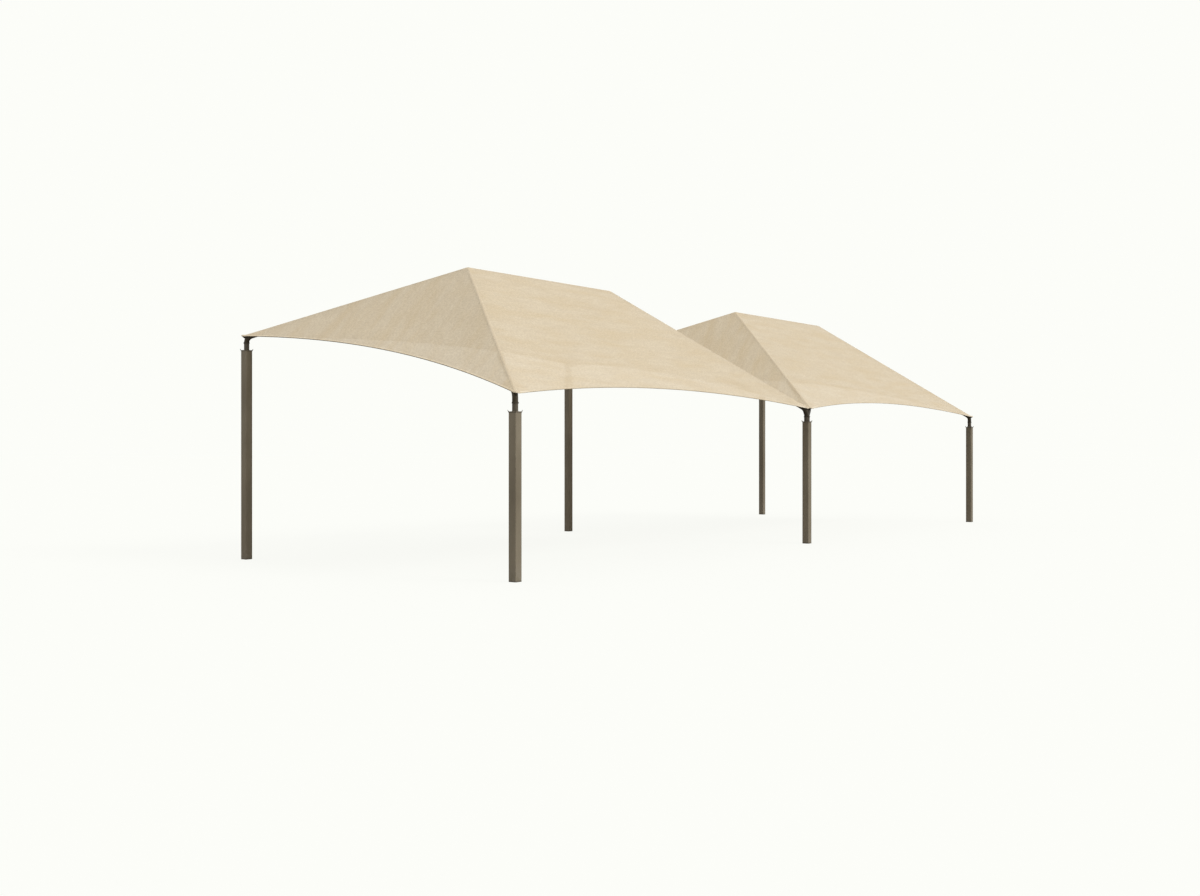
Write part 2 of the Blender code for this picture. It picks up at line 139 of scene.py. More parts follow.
def bronze_coat(name, edge_wear, fresh=BRONZE, faded=BRONZE_FADED, shine=0.42, neck=None):
    # Satin powder coat: fine orange peel, faded clouds, rain runs, soil near the ground, a painted
    # contact shadow at the very foot, and on cut plates the coat worn thin along the edges. A neck is
    # the height above which painted shade darkens the coat, and the colour of that shade.
    finish, tree = new_finish(name)
    place = add(tree, "TexCoord").outputs["Object"]
    clouds = grain(tree, place, (2.2, 2.2, 1.1))
    coat = tinted(tree, spread(tree, clouds, 0.34, 0.68), fresh, faded)
    runs = grain(tree, place, (46.0, 46.0, 0.8))
    coat = tinted(tree, spread(tree, runs, 0.52, 0.78, 0.0, 0.30), coat, SOIL)
    height = add(tree, "SeparateXYZ", Vector=place).outputs["Z"]
    splash = combined(tree, "MULTIPLY", spread(tree, height, SPLASH_HEIGHT, 0.0),
                      spread(tree, grain(tree, place, (30.0, 30.0, 16.0), 6.0), 0.40, 0.72))
    coat = tinted(tree, splash, coat, SOIL)
    # Painted contact shadow at the foot of each post.
    coat = tinted(tree, spread(tree, height, CONTACT_SHADE_HEIGHT, 0.004, 0.0, 0.65), coat, CONTACT_SHADE)
    # Painted shade: the coat darkens above the neck's foot.
    if neck:
        foot, painted_neck_shade = neck
        coat = tinted(tree, spread(tree, height, foot, foot + NECK_SHADE_FADE, 0.0, 0.55), coat, painted_neck_shade)
    specks = spread(tree, grain(tree, place, (160.0, 160.0, 160.0), 2.0), 0.74, 0.80, 0.0, 0.55)
    coat = tinted(tree, specks, coat, SOIL)
    rough = spread(tree, combined(tree, "ADD", clouds, splash), 0.3, 1.2, 0.40, 0.78)
    if edge_wear:
        rounded = add(tree, "Bevel", Radius=WORN_EDGE)
        rounded.samples = 4
        turn = tree.nodes.new("ShaderNodeVectorMath")
        turn.operation = "DOT_PRODUCT"
        plug(tree, turn.inputs[0], rounded.outputs["Normal"])
        plug(tree, turn.inputs[1], add(tree, "NewGeometry").outputs["Normal"])
        patchy = spread(tree, grain(tree, place, (55.0, 55.0, 55.0), 5.0), 0.46, 0.62)
        worn = combined(tree, "MULTIPLY", spread(tree, turn.outputs["Value"], 0.99, 0.86), patchy)
        coat = tinted(tree, worn, coat, BARE_STEEL)
    peel = add(tree, "TexNoise", Vector=place, Scale=520.0, Detail=2.0).outputs["Fac"]
    relief = combined(tree, "ADD", peel, combined(tree, "MULTIPLY", clouds, 0.6))
    bump = add(tree, "Bump", Strength=0.35, Distance=0.0005, Height=relief).outputs["Normal"]
    shader = add(tree, "BsdfPrincipled", Base_Color=coat, Roughness=rough, Normal=bump,
                 Specular_IOR_Level=shine)
    add(tree, "OutputMaterial", Surface=shader.outputs["BSDF"])
    return finish


def smooth_shading():
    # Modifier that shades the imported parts' round walls as round and leaves their real edges.
    group = bpy.data.node_groups.new("smooth_round_walls", "GeometryNodeTree")
    for way in ("INPUT", "OUTPUT"):
        group.interface.new_socket("Geometry", in_out=way, socket_type="NodeSocketGeometry")
    start, welded, plain, angle, is_round, faces, edges, end = (group.nodes.new(kind) for kind in (
        "NodeGroupInput", "GeometryNodeMergeByDistance", "GeometryNodeRemoveAttribute",
        "GeometryNodeInputMeshEdgeAngle", "FunctionNodeCompare", "GeometryNodeSetShadeSmooth",
        "GeometryNodeSetShadeSmooth", "NodeGroupOutput"))
    welded.inputs["Distance"].default_value = WELD_REACH
    plain.inputs["Name"].default_value = "custom_normal"
    edges.domain = "EDGE"
    is_round.operation = "LESS_THAN"
    is_round.inputs["B"].default_value = SHARP_FROM
    for before, after in ((start, welded), (welded, plain), (plain, faces), (faces, edges), (edges, end)):
        group.links.new(before.outputs[0], after.inputs[0])
    group.links.new(angle.outputs["Unsigned Angle"], is_round.inputs["A"])
    group.links.new(is_round.outputs["Result"], edges.inputs["Shade Smooth"])
    return group


def coat_nodes(prefix, finish):
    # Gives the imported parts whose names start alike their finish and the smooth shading.
    for name, part in nodes.items():
        if name.startswith(prefix):
            part.data.materials.clear()
            part.data.materials.append(finish)
            part.modifiers.new("round_walls", "NODES").node_group = round_walls


round_walls = smooth_shading()
tube_coat = bronze_coat("bronze_coat_on_tube", False)
coat_nodes("post_front", tube_coat)
coat_nodes("post_back", tube_coat)


# Post caps: a flat plate on each post with four bent tabs and a round neck, fabricated and coated
# as one piece and welded to the post all round. The beads show as ripples round the neck's foot
# and under the plate's edge.

CAP_THICK = 0.012
SEAT = 0.0003
NECK_RADIUS = {"left": 0.04445, "middle": 0.05715, "right": 0.04445}
BEAD_RADIUS = 0.0038
BEAD_OUT = 0.001
BEAD_BELOW_PLATE = 0.35
BEAD_ON_PLATE = 0.3
BEAD_STEP = 0.0026
BEAD_RIPPLE = 0.0075
RIPPLE_DEPTH = 0.16
RIPPLE_UNEVEN = 0.10
RIPPLE_PATCHES = 90
BEAD_SIDES = 7
CIRCLE_STEPS = 48
CORNER_STEPS = 6
# Painted shade: the plates' bronze is darker than the posts' coat, standing for the shade under the elbows
# and the cloth.
PLATE_BRONZE_SHADED = (0.102, 0.082, 0.054, 1.0)
PLATE_FADED_SHADED = (0.146, 0.120, 0.082, 1.0)
# Painted shade on the caps' necks, standing for the shade of the elbows and the cloth above them.
NECK_PAINTED_SHADE = (0.052, 0.041, 0.025, 1.0)
UP = Vector((0, 0, 1))


def placed(name, data):
    thing = bpy.data.objects.new(name, data)
    bpy.context.scene.collection.objects.link(thing)
    return thing


def smooth_piece(mesh, finish):
    # Shows a mesh as a piece of the same name.
    mesh.materials.append(finish)
    mesh.shade_smooth()
    piece = placed(mesh.name, mesh)
    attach(piece, "root")
    return piece


def new_piece(name, shape, finish):
    mesh = bpy.data.meshes.new(name)
    mesh.from_pydata([tuple(v) for v in shape[0]], [], shape[1])
    return smooth_piece(mesh, finish)


def round_point(side, other, angle):
    return side * math.cos(angle) + other * math.sin(angle)


def ring(spot, side, other, sides):
    return [spot + round_point(side, other, 2 * math.pi * k / sides) for k in range(sides)]


def join_rings(faces, low, high, sides, shift=0):
    # Faces between two rings, from the numbers of their first points. The second ring can be
    # turned back by some points.
    for k in range(sides):
        m = (k + 1) % sides
        faces.append((low + k, low + m, high + (m - shift) % sides, high + (k - shift) % sides))


def even_points(path, step):
    # The same line with its points a step apart, each with its distance from the start.
    spots = []
    travelled = 0.0
    for a, b in zip(path, path[1:]):
        length = (b - a).length
        count = max(1, round(length / step))
        for i in range(count):
            spots.append((a.lerp(b, i / count), travelled + length * i / count))
        travelled += length
    spots.append((path[-1], travelled))
    return spots


def add_bead(shape, path, radius, closed):
    # Weld bead along a line, with the ripples that the torch leaves.
    verts, faces = shape
    spots = even_points(path, BEAD_STEP)
    if closed:
        spots = spots[:-1]
    count = len(spots)
    first = len(verts)
    for i, (spot, travelled) in enumerate(spots):
        after = spots[(i + 1) % count][0] if closed or i < count - 1 else spot
        before = spots[i - 1][0] if closed or i > 0 else spot
        way = (after - before).normalized()
        side = (way.orthogonal() if abs(way.z) > 0.95 else way.cross(UP)).normalized()
        ripple = 1 + RIPPLE_DEPTH * math.sin(2 * math.pi * travelled / BEAD_RIPPLE)
        ripple += RIPPLE_UNEVEN * noise.noise(spot * RIPPLE_PATCHES)
        verts += ring(spot, side * (radius * ripple), way.cross(side) * (radius * ripple), BEAD_SIDES)
    for i in range(count if closed else count - 1):
        join_rings(faces, first + i * BEAD_SIDES, first + (i + 1) % count * BEAD_SIDES, BEAD_SIDES)


def level_way(angle):
    return Vector((math.cos(angle), math.sin(angle), 0))


def circle(centre, radius):
    loop = ring(centre, level_way(0) * radius, level_way(math.pi / 2) * radius, CIRCLE_STEPS)
    return loop + [loop[0]]


def square_round(centre, half, corner):
    loop = []
    for quarter in range(4):
        middle = level_way(math.pi / 4 + math.pi / 2 * quarter) * ((half - corner) * math.sqrt(2))
        for k in range(CORNER_STEPS + 1):
            out = level_way(math.pi / 2 * (quarter + k / CORNER_STEPS))
            loop.append(centre + middle + out * corner)
    return loop + [loop[0]]


plate_coat_shaded = bronze_coat("bronze_coat_on_plate", True, PLATE_BRONZE_SHADED, PLATE_FADED_SHADED)
# The caps' coat turns into painted shade up the neck, above the plate.
for row, height in POST_TOP.items():
    cap_coat_with_neck_shade = bronze_coat("bronze_coat_on_" + row + "_caps", True, PLATE_BRONZE_SHADED, PLATE_FADED_SHADED,
                           neck=(height + SEAT + CAP_THICK, NECK_PAINTED_SHADE))
    coat_nodes("post_cap_" + row, cap_coat_with_neck_shade)
cap_beads = ([], [])
for (row, place), seat in post_tops.items():
    under_plate = seat - UP * (BEAD_RADIUS * BEAD_BELOW_PLATE)
    add_bead(cap_beads, square_round(under_plate, POST_HALF + BEAD_OUT, POST_CORNER), BEAD_RADIUS, True)
    on_plate = seat + UP * (SEAT + CAP_THICK + BEAD_RADIUS * BEAD_ON_PLATE)
    add_bead(cap_beads, circle(on_plate, NECK_RADIUS[place] + BEAD_OUT), BEAD_RADIUS, True)
new_piece("post_cap_welds", cap_beads, plate_coat_shaded)


# Corner and double elbows: bent tube that carries each hip rafter on its post's neck. A collar
# grips the joint with two hexagon set bolts, and a flat ear holds the rope at the canopy's corner.

NECK_RISE = {"left": 0.125, "middle": 0.098, "right": 0.125}
COLLAR_HEIGHT = 0.022
COLLAR_OVER = 0.005
COLLAR_BEAD = 0.0032
COLLAR_BEAD_OUT = 0.0012
SET_BOLT = {"across": 0.013, "height": 0.0053, "washer": 0.0085}
SET_BOLT_TURN = math.pi / 4
BOLT_SINK = 0.0004
BOLT_SHARP = math.radians(30)
# Painted shade: the elbows' bronze is near black, standing for the shade that the cloth casts on them; the
# collar bolts and welds share it.
ELBOW_PAINTED_SHADE = (0.034, 0.026, 0.014, 1.0)
ELBOW_FADED_PAINTED_SHADE = (0.062, 0.048, 0.028, 1.0)
ELBOW_SHINE = 0.20

# The rings of points of a bolt from its foot up: how many points, which part they are on, and
# their shares of that part's radius and of the whole height.
BOLT_RINGS = ((16, "washer", 1.0, 0.0), (16, "washer", 1.0, 0.22), (16, "washer", 0.92, 0.27),
              (6, "head", 1.0, 0.27), (6, "head", 1.0, 0.88), (6, "head", 0.84, 1.0))


def add_bolt(shape, foot, out, across, height, washer):
    # Hexagon head with a chamfered top on a round washer, standing on its foot point.
    verts, faces = shape
    turn = UP.rotation_difference(out)
    radii = {"washer": washer, "head": across / math.sqrt(3)}
    rings = []
    for sides, part, share, level in BOLT_RINGS:
        rings.append(range(len(verts), len(verts) + sides))
        side, other = (turn @ level_way(a) * (radii[part] * share) for a in (0, math.pi / 2))
        verts += ring(foot + turn @ UP * (height * level), side, other, sides)
    for r in (0, 1, 3, 4):
        join_rings(faces, rings[r][0], rings[r + 1][0], len(rings[r]))
    faces += [tuple(reversed(rings[0])), tuple(rings[2]), tuple(rings[5])]


# Elbows, collar bolts and collar welds take the bronze darkened with painted shade.
elbow_coat_shaded = bronze_coat("bronze_coat_on_elbow", True, ELBOW_PAINTED_SHADE, ELBOW_FADED_PAINTED_SHADE, ELBOW_SHINE)
coat_nodes("corner_elbow", elbow_coat_shaded)
coat_nodes("double_elbow", elbow_coat_shaded)
set_bolts = ([], [])
collar_beads = ([], [])
for (row, place), seat in post_tops.items():
    foot = seat + UP * (NECK_RISE[place] + SEAT)
    reach = NECK_RADIUS[place] + COLLAR_OVER - BOLT_SINK
    outside = math.pi / 2 if row == "back" else -math.pi / 2
    for turn in (-SET_BOLT_TURN, SET_BOLT_TURN):
        out = level_way(outside + turn)
        add_bolt(set_bolts, foot + UP * (COLLAR_HEIGHT / 2) + out * reach, out, **SET_BOLT)
    if place != "middle":
        rim = circle(foot + UP * (COLLAR_HEIGHT + BEAD_OUT), NECK_RADIUS[place] + COLLAR_BEAD_OUT)
        add_bead(collar_beads, rim, COLLAR_BEAD, True)
bolts = new_piece("collar_bolts", set_bolts, elbow_coat_shaded)
bolts.data.set_sharp_from_angle(angle=BOLT_SHARP)
new_piece("collar_welds", collar_beads, elbow_coat_shaded)


# Hip rafters, ridge beams and ridge hubs: straight round tube on the elbows' and hubs' stubs, each
# joint slipped over an inner sleeve and held by four self-drilling screws on its lower side. A
# hub's three stubs are mitred together and welded along the mitres.

TUBE_RADIUS = 0.04445
KNEE_HEIGHT = {"front": 2.705, "back": 3.833}
KNEE_INSET = {"left": 0.0, "middle": 0.098, "right": 0.0}
HUB_INSET = {"left": 2.24, "right": 2.65}
RIDGE_Y = -0.06
RIDGE_HEIGHT = 4.99
ELBOW_LENGTH = 0.22
HUB_STUB = 0.20
HUB_BEAD = 0.003
MITRE_STEPS = 48
MITRE_TOP = 0.25
SCREW_FROM_JOINT = 0.030
SCREW_TURN = math.radians(52)
SCREW_SINK = 0.0007
SCREW = {"across": 0.008, "height": 0.0048, "washer": 0.0075}
ZINC = (0.40, 0.39, 0.37, 1.0)
ZINC_BLOOM = (0.60, 0.59, 0.56, 1.0)
RUST = (0.23, 0.115, 0.055, 1.0)


def new_bay(name, left_place, right_place):
    # The middle lines of a bay's tubes, between two pairs of posts. Hips are keyed by row and end.
    bay = SimpleNamespace(name=name, hubs={}, knees={}, hip_ways={})
    ends = (("left", left_place, 1), ("right", right_place, -1))
    for end, place, inward in ends:
        bay.hubs[end] = Vector((POST_X[place] + inward * HUB_INSET[end], RIDGE_Y, RIDGE_HEIGHT))
    for row, height in KNEE_HEIGHT.items():
        for end, place, inward in ends:
            knee = Vector((POST_X[place] + inward * KNEE_INSET[place], POST_Y[row], height))
            bay.knees[row, end] = knee
            bay.hip_ways[row, end] = (bay.hubs[end] - knee).normalized()
    ridge = bay.hubs["right"] - bay.hubs["left"]
    bay.ridge_length = ridge.length
    bay.inward = {"left": ridge.normalized(), "right": -ridge.normalized()}
    return bay


def zinc_finish(name):
    # Bright zinc gone dull, with white bloom in the hollows and a little rust.
    finish, tree = new_finish(name)
    place = add(tree, "TexCoord").outputs["Object"]
    bloom = grain(tree, place, (210.0, 210.0, 210.0), 4.0)
    colour = tinted(tree, spread(tree, bloom, 0.35, 0.7), ZINC, ZINC_BLOOM)
    rust = spread(tree, grain(tree, place, (75.0, 75.0, 75.0), 5.0), 0.60, 0.72, 0.0, 0.8)
    colour = tinted(tree, rust, colour, RUST)
    bump = add(tree, "Bump", Strength=0.3, Distance=0.0003, Height=bloom).outputs["Normal"]
    shader = add(tree, "BsdfPrincipled", Base_Color=colour, Metallic=spread(tree, rust, 0.0, 0.8, 0.85, 0.15),
                 Roughness=spread(tree, bloom, 0.3, 0.7, 0.34, 0.62), Normal=bump)
    add(tree, "OutputMaterial", Surface=shader.outputs["BSDF"])
    return finish


def add_joint_screws(shape, joint, way):
    # Two screws on each side of a joint, on the two lower flanks of the tube.
    down = (way * way.z - UP).normalized()
    for side in (-1, 1):
        out = Quaternion(way, side * SCREW_TURN) @ down
        for along in (-SCREW_FROM_JOINT, SCREW_FROM_JOINT):
            add_bolt(shape, joint + way * along + out * (TUBE_RADIUS - SCREW_SINK), out, **SCREW)


def mitre(centre, first, second, third):
    # Where two stubs of a hub meet, as a line of points on the side away from the cloth.
    middle = (first + second).normalized()
    side = first.cross(second).normalized()
    tilt = math.sin(first.angle(second) / 2)
    line = []
    for k in range(MITRE_STEPS + 1):
        offset = round_point(middle / tilt, side, math.pi * (k / MITRE_STEPS - 0.5)) * TUBE_RADIUS
        outward = (offset - first * offset.dot(first)).normalized()
        if outward.z < MITRE_TOP and offset.dot(third) < offset.dot(first):
            line.append(centre + offset)
    return line


bays = [new_bay("left_bay", "left", "middle"), new_bay("right_bay", "middle", "right")]
for tubes in ("hip_rafter", "ridge_beam", "ridge_hub"):
    coat_nodes(tubes, tube_coat)
zinc = zinc_finish("dull_zinc")
screws = ([], [])
hub_beads = ([], [])
for bay in bays:
    for (row, end), way in bay.hip_ways.items():
        add_joint_screws(screws, bay.knees[row, end] + way * ELBOW_LENGTH, way)
        add_joint_screws(screws, bay.hubs[end] - way * HUB_STUB, way)
    for end, inward in bay.inward.items():
        hub = bay.hubs[end]
        add_joint_screws(screws, hub + inward * HUB_STUB, inward)
        stubs = [inward, -bay.hip_ways["front", end], -bay.hip_ways["back", end]]
        for k in range(3):
            line = mitre(hub, stubs[k], stubs[(k + 1) % 3], stubs[(k + 2) % 3])
            if len(line) > 2:
                add_bead(hub_beads, line, HUB_BEAD, False)
screw_heads = new_piece("joint_screws", screws, zinc)
screw_heads.data.set_sharp_from_angle(angle=BOLT_SHARP)
new_piece("ridge_hub_welds", hub_beads, tube_coat)


# Hem ropes: one endless galvanised wire rope round each canopy, six strands laid right-handed.
# It runs in the hem along all four edges and bends through the ears at the corners, where it is
# bare. A pressed sleeve at the back left corner joins its ends.

EDGE_OUT = 0.07
CLOTH_HALF = 0.001
CLOTH_GAP = 0.0004
CLOTH_LEVEL = TUBE_RADIUS + CLOTH_GAP + CLOTH_HALF
SAG = {"front": 0.385, "right": 0.373, "back": 0.385, "left": 0.373}
HEM_STOP = 0.11
BESIDE = 0.01
ROPE_TURN = 0.055
ROPE_RADIUS = 0.00475
ROPE_LAY = 0.062
STRANDS = 6
STRAND_STEPS = 4
BARE_STEP = 0.0042
HIDDEN_STEP = 0.16
BARE_REACH = 0.15
SLEEVE_LENGTH = 0.034
SLEEVE_WIDE = 0.0105
SLEEVE_THICK = 0.0068
SLEEVE_WAIST = 0.13
SLEEVE_PRESSES = 3.5
SLEEVE_MOUTH = 0.72
SLEEVE_FLARE = 6
SLEEVE_RINGS = 25
SLEEVE_SIDES = 20
PANEL_ENDS = {
    "front": (("front", "left"), ("front", "right")),
    "right": (("front", "right"), ("back", "right")),
    "back": (("back", "right"), ("back", "left")),
    "left": (("back", "left"), ("front", "left")),
}


def facing(way, toward):
    # The direction or its opposite, whichever looks the same way as the other direction.
    return way if way.dot(toward) >= 0 else -way


def roof_plane(a, b, c, level):
    # The plane through three points on the tubes' middle lines, moved out by the level.
    normal = facing((b - a).cross(c - a).normalized(), UP)
    return normal, normal.dot(a) + level


def meet(p, q, r):
    # The point where three planes meet.
    cross_qr = q[0].cross(r[0])
    point = cross_qr * p[1] + r[0].cross(p[0]) * q[1] + p[0].cross(q[0]) * r[1]
    return point / p[0].dot(cross_qr)


def new_panel(bay, name, planes):
    # One roof panel: its corners, its curved lower edge's start, span, sag and up-slope direction.
    start, stop = (bay.corners[corner] for corner in PANEL_ENDS[name])
    span = stop - start
    along = span.normalized()
    reach = meet(planes["front"], planes["back"], planes["right" if name == "right" else "left"]) - start
    rise = (reach - along * reach.dot(along)).normalized()
    return SimpleNamespace(name=name, ends=PANEL_ENDS[name], corners=(start, stop), normal=planes[name][0],
                           span=span, length=span.length, rise=rise, sag=SAG[name], height=reach.dot(rise))


for bay in bays:
    planes = {}
    for name, (first, last) in PANEL_ENDS.items():
        hub = bay.hubs["right" if name == "right" else "left"]
        planes[name] = roof_plane(bay.knees[first], bay.knees[last], hub, CLOTH_LEVEL)
    bay.corners = {}
    for row, end in bay.knees:
        outward = Vector((0, math.copysign(1, POST_Y[row]), 0))
        edge = (outward, abs(POST_Y[row]) + EDGE_OUT)
        bay.corners[row, end] = meet(planes[row], planes[end], edge)
    bay.panels = {name: new_panel(bay, name, planes) for name in PANEL_ENDS}


def eave(panel, distance):
    # The point of the curved edge that is so far from the edge's first corner.
    share = distance / panel.length
    return panel.corners[0] + panel.span * share + panel.rise * (4 * panel.sag * share * (1 - share))


def beside(panel, distance):
    # Two points of the curved edge, just before and just after that distance.
    return [eave(panel, distance + step) for step in (-BESIDE, BESIDE)]


def bent(a, b, c, steps):
    # The points between a and c on a curve that leaves a towards b and comes to c from b.
    shares = [k / steps for k in range(1, steps)]
    return [a * (1 - t) ** 2 + b * (2 * t * (1 - t)) + c * t ** 2 for t in shares]


def rope_path(bay):
    # Points round the whole rope: short steps where it is bare, long ones where the hem hides it.
    path = []
    panels = list(bay.panels.values())
    bare = round((BARE_REACH - ROPE_TURN) / BARE_STEP)
    near = [ROPE_TURN + (BARE_REACH - ROPE_TURN) * k / bare for k in range(bare)]
    for panel, following in zip(panels, panels[1:] + panels[:1]):
        covered = panel.length - 2 * BARE_REACH
        hidden = round(covered / HIDDEN_STEP)
        distances = near + [BARE_REACH + covered * k / hidden for k in range(hidden + 1)]
        distances += [panel.length - d for d in reversed(near)]
        path += [eave(panel, distance) for distance in distances]
        path += bent(eave(panel, panel.length - ROPE_TURN), panel.corners[1], eave(following, ROPE_TURN),
                     round(2 * ROPE_TURN / BARE_STEP))
    return path


def laid_rope(name, path, finish):
    # Six strands wound round each other, as the lobes of one closed tube that turns as it goes.
    count = len(path)
    steps = [(path[(i + 1) % count] - path[i]).length for i in range(count)]
    bare = sum(step for step in steps if step < 2 * BARE_STEP)
    sixths = round(bare / ROPE_LAY * STRANDS)
    pitch = 2 * math.pi * sixths / STRANDS / bare
    sides = STRANDS * STRAND_STEPS
    strand = ROPE_RADIUS / 3
    verts, faces = [], []
    turn = 0.0
    for i, spot in enumerate(path):
        way = (path[(i + 1) % count] - path[i - 1]).normalized()
        side = way.cross(UP).normalized()
        other = side.cross(way)
        for k in range(sides):
            off = math.pi / STRANDS * (2 * (k % STRAND_STEPS) / STRAND_STEPS - 1)
            lobe = max(0.0, strand ** 2 - (2 * strand * math.sin(off)) ** 2)
            reach = 2 * strand * math.cos(off) + math.sqrt(lobe)
            verts.append(spot + round_point(side, other, turn + 2 * math.pi * k / sides) * reach)
        if steps[i] < 2 * BARE_STEP:
            turn += pitch * steps[i]
    for i in range(count - 1):
        join_rings(faces, i * sides, (i + 1) * sides, sides)
    join_rings(faces, (count - 1) * sides, 0, sides, sixths * STRAND_STEPS)
    return new_piece(name, (verts, faces), finish)


def pressed_sleeve(name, foot, way, finish):
    # Oval sleeve with three pressed waists, rounded at both ends.
    side = way.cross(UP).normalized()
    other = side.cross(way)
    verts, faces = [], []
    for i in range(SLEEVE_RINGS):
        t = i / (SLEEVE_RINGS - 1)
        size = 1 - SLEEVE_WAIST * max(0.0, math.cos(2 * math.pi * SLEEVE_PRESSES * (t - 0.5))) ** 2
        size *= min(1.0, SLEEVE_MOUTH + SLEEVE_FLARE * min(t, 1 - t))
        spot = foot + way * (SLEEVE_LENGTH * (t - 0.5))
        verts += ring(spot, side * (SLEEVE_WIDE * size), other * (SLEEVE_THICK * size), SLEEVE_SIDES)
    for i in range(SLEEVE_RINGS - 1):
        join_rings(faces, i * SLEEVE_SIDES, (i + 1) * SLEEVE_SIDES, SLEEVE_SIDES)
    faces += [tuple(reversed(range(SLEEVE_SIDES))), tuple(range(len(verts) - SLEEVE_SIDES, len(verts)))]
    return new_piece(name, (verts, faces), finish)


rope_zinc = zinc_finish("galvanised_rope")
for bay in bays:
    rope = laid_rope("hem_rope_" + bay.name, rope_path(bay), rope_zinc)
    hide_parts("hem_cable_" + bay.name)
    before, after = beside(bay.panels["left"], (HEM_STOP + ROPE_TURN) / 2)
    pressed_sleeve("rope_sleeve_" + bay.name, (before + after) / 2, (after - before).normalized(), zinc)


# Canopies: one tensioned cover to a bay, of sand knitted shade cloth cut as four panels and sewn
# together along the hips and the ridge. It lies round the tubes, dips a little between them and
# pulls into faint folds at its corners.

LONG_PANELS = ("front", "back")
CORNER_CUT = 0.06
ROWS = 56
COLUMNS = {"front": 132, "right": 88, "back": 132, "left": 88}
CUT_COLUMNS = 3
CREASE_STEPS = 6
HEM_INSET = 0.006
SEWN_WITHIN = 0.00002
SLIVER = 0.00001
DIP = 0.080
DIP_REACH = 0.90
FOLD_DEPTH = 0.0042
FOLD_REACH = 1.25
FOLD_EDGE = 0.12
FOLDS_PER_TURN = 22
FOLD_SHIFT = 1.7
MINOR_FOLD = {"share": 0.5, "pace": 0.61, "shift": 0.8}
WAVE_DEPTH = 0.012
WAVES_ALONG = 0.32
WAVES_ACROSS = 1.1
CLOTH_SAND = (0.630, 0.533, 0.378, 1.0)
CLOTH_PALE = (0.722, 0.630, 0.474, 1.0)
CLOTH_YELLOW = (0.594, 0.466, 0.278, 1.0)
CLOTH_DULL = (0.530, 0.436, 0.304, 1.0)
CLOTH_SHADE = (0.400, 0.320, 0.215, 1.0)
LOOP_PITCH = {"X": 0.00416, "Y": 0.0032}
OPEN_SHARE = 0.05
THROUGH_SHARE = 0.16
THROUGH_DOUBLED = 0.096

# The cloth's colour, layer on layer: patches to the metre along and across the courses, their
# detail, the band of the pattern that shows and its strength at both ends, and the tint.
CLOTH_LAYERS = {
    "streaks": ((1.3, 14.0, 1.0), 4.0, (0.30, 0.70, 0.14, 0.80), CLOTH_PALE),
    "mottle": ((5.0, 9.0, 1.0), 3.0, (0.36, 0.66, 0.34, 0.0), CLOTH_DULL),
    "clouds": ((0.75, 3.4, 1.0), 4.0, (0.42, 0.66, 0.0, 0.60), CLOTH_YELLOW),
    "threads": ((7.0, 260.0, 1.0), 2.0, (0.25, 0.75, 0.0, 0.30), CLOTH_PALE),
    "stains": ((0.8, 2.1, 1.0), 5.0, (0.58, 0.74, 0.0, 0.34), CLOTH_DULL),
    "flecks": ((23.0, 32.0, 1.0), 3.0, (0.38, 0.62, 0.34, 0.0), CLOTH_SHADE),
}


def eased(distance, reach):
    # Rises from nothing at an edge towards one, far from it.
    return distance ** 2 / (distance ** 2 + reach ** 2) if distance > 0 else 0.0


def hip_foot(bay, corner):
    # Where the cloth is cut across a hip, on the tube's middle line.
    way, knee = bay.hip_ways[corner], bay.knees[corner]
    return knee + way * (bay.corners[corner] + way * CORNER_CUT - knee).dot(way)


def hip_stations(bay, corner, stop, count):
    # Points on a hip tube's middle line, from the cut to so far below the hub.
    low, high = hip_foot(bay, corner), bay.hubs[corner[1]]
    length = (high - low).length
    return [low.lerp(high, (length - stop) * k / count / length) for k in range(count + 1)]


def from_line(spot, a, b, inside):
    # Distance of a spot from the line through a and b, positive on the side of the inside point.
    way = (b - a).normalized()
    square = (inside - a) - way * (inside - a).dot(way)
    return (spot - a).dot(square.normalized())


def drape(panel, spot):
    # Moves a spot of the flat panel to where the hung cloth is.
    arm = spot - panel.corners[0]
    share = arm.dot(panel.span) / panel.span.length_squared
    borders = [from_line(spot, panel.low[k], panel.high[k], panel.centre) for k in (0, 1)]
    borders.append(arm.dot(panel.rise) - 4 * panel.sag * share * (1 - share))
    if panel.name in LONG_PANELS:
        borders.append(from_line(spot, *panel.high, panel.centre))
    depth = DIP * math.prod(eased(distance, DIP_REACH) for distance in borders)
    held = math.prod(eased(distance, FOLD_EDGE) for distance in borders)
    for k, corner in enumerate(panel.corners):
        arm = spot - corner
        turn = math.atan2(arm.dot(panel.rise), abs(arm.dot(panel.span.normalized()))) * FOLDS_PER_TURN
        fold = math.sin(turn + FOLD_SHIFT * k)
        fold += MINOR_FOLD["share"] * math.sin(MINOR_FOLD["pace"] * turn + MINOR_FOLD["shift"])
        depth += FOLD_DEPTH * fold * held * math.exp(-arm.length / FOLD_REACH)
    wave = noise.noise(Vector((spot.x * WAVES_ALONG, spot.y * WAVES_ACROSS, spot.z * WAVES_ACROSS)))
    return spot - panel.normal * (depth + WAVE_DEPTH * held * wave)


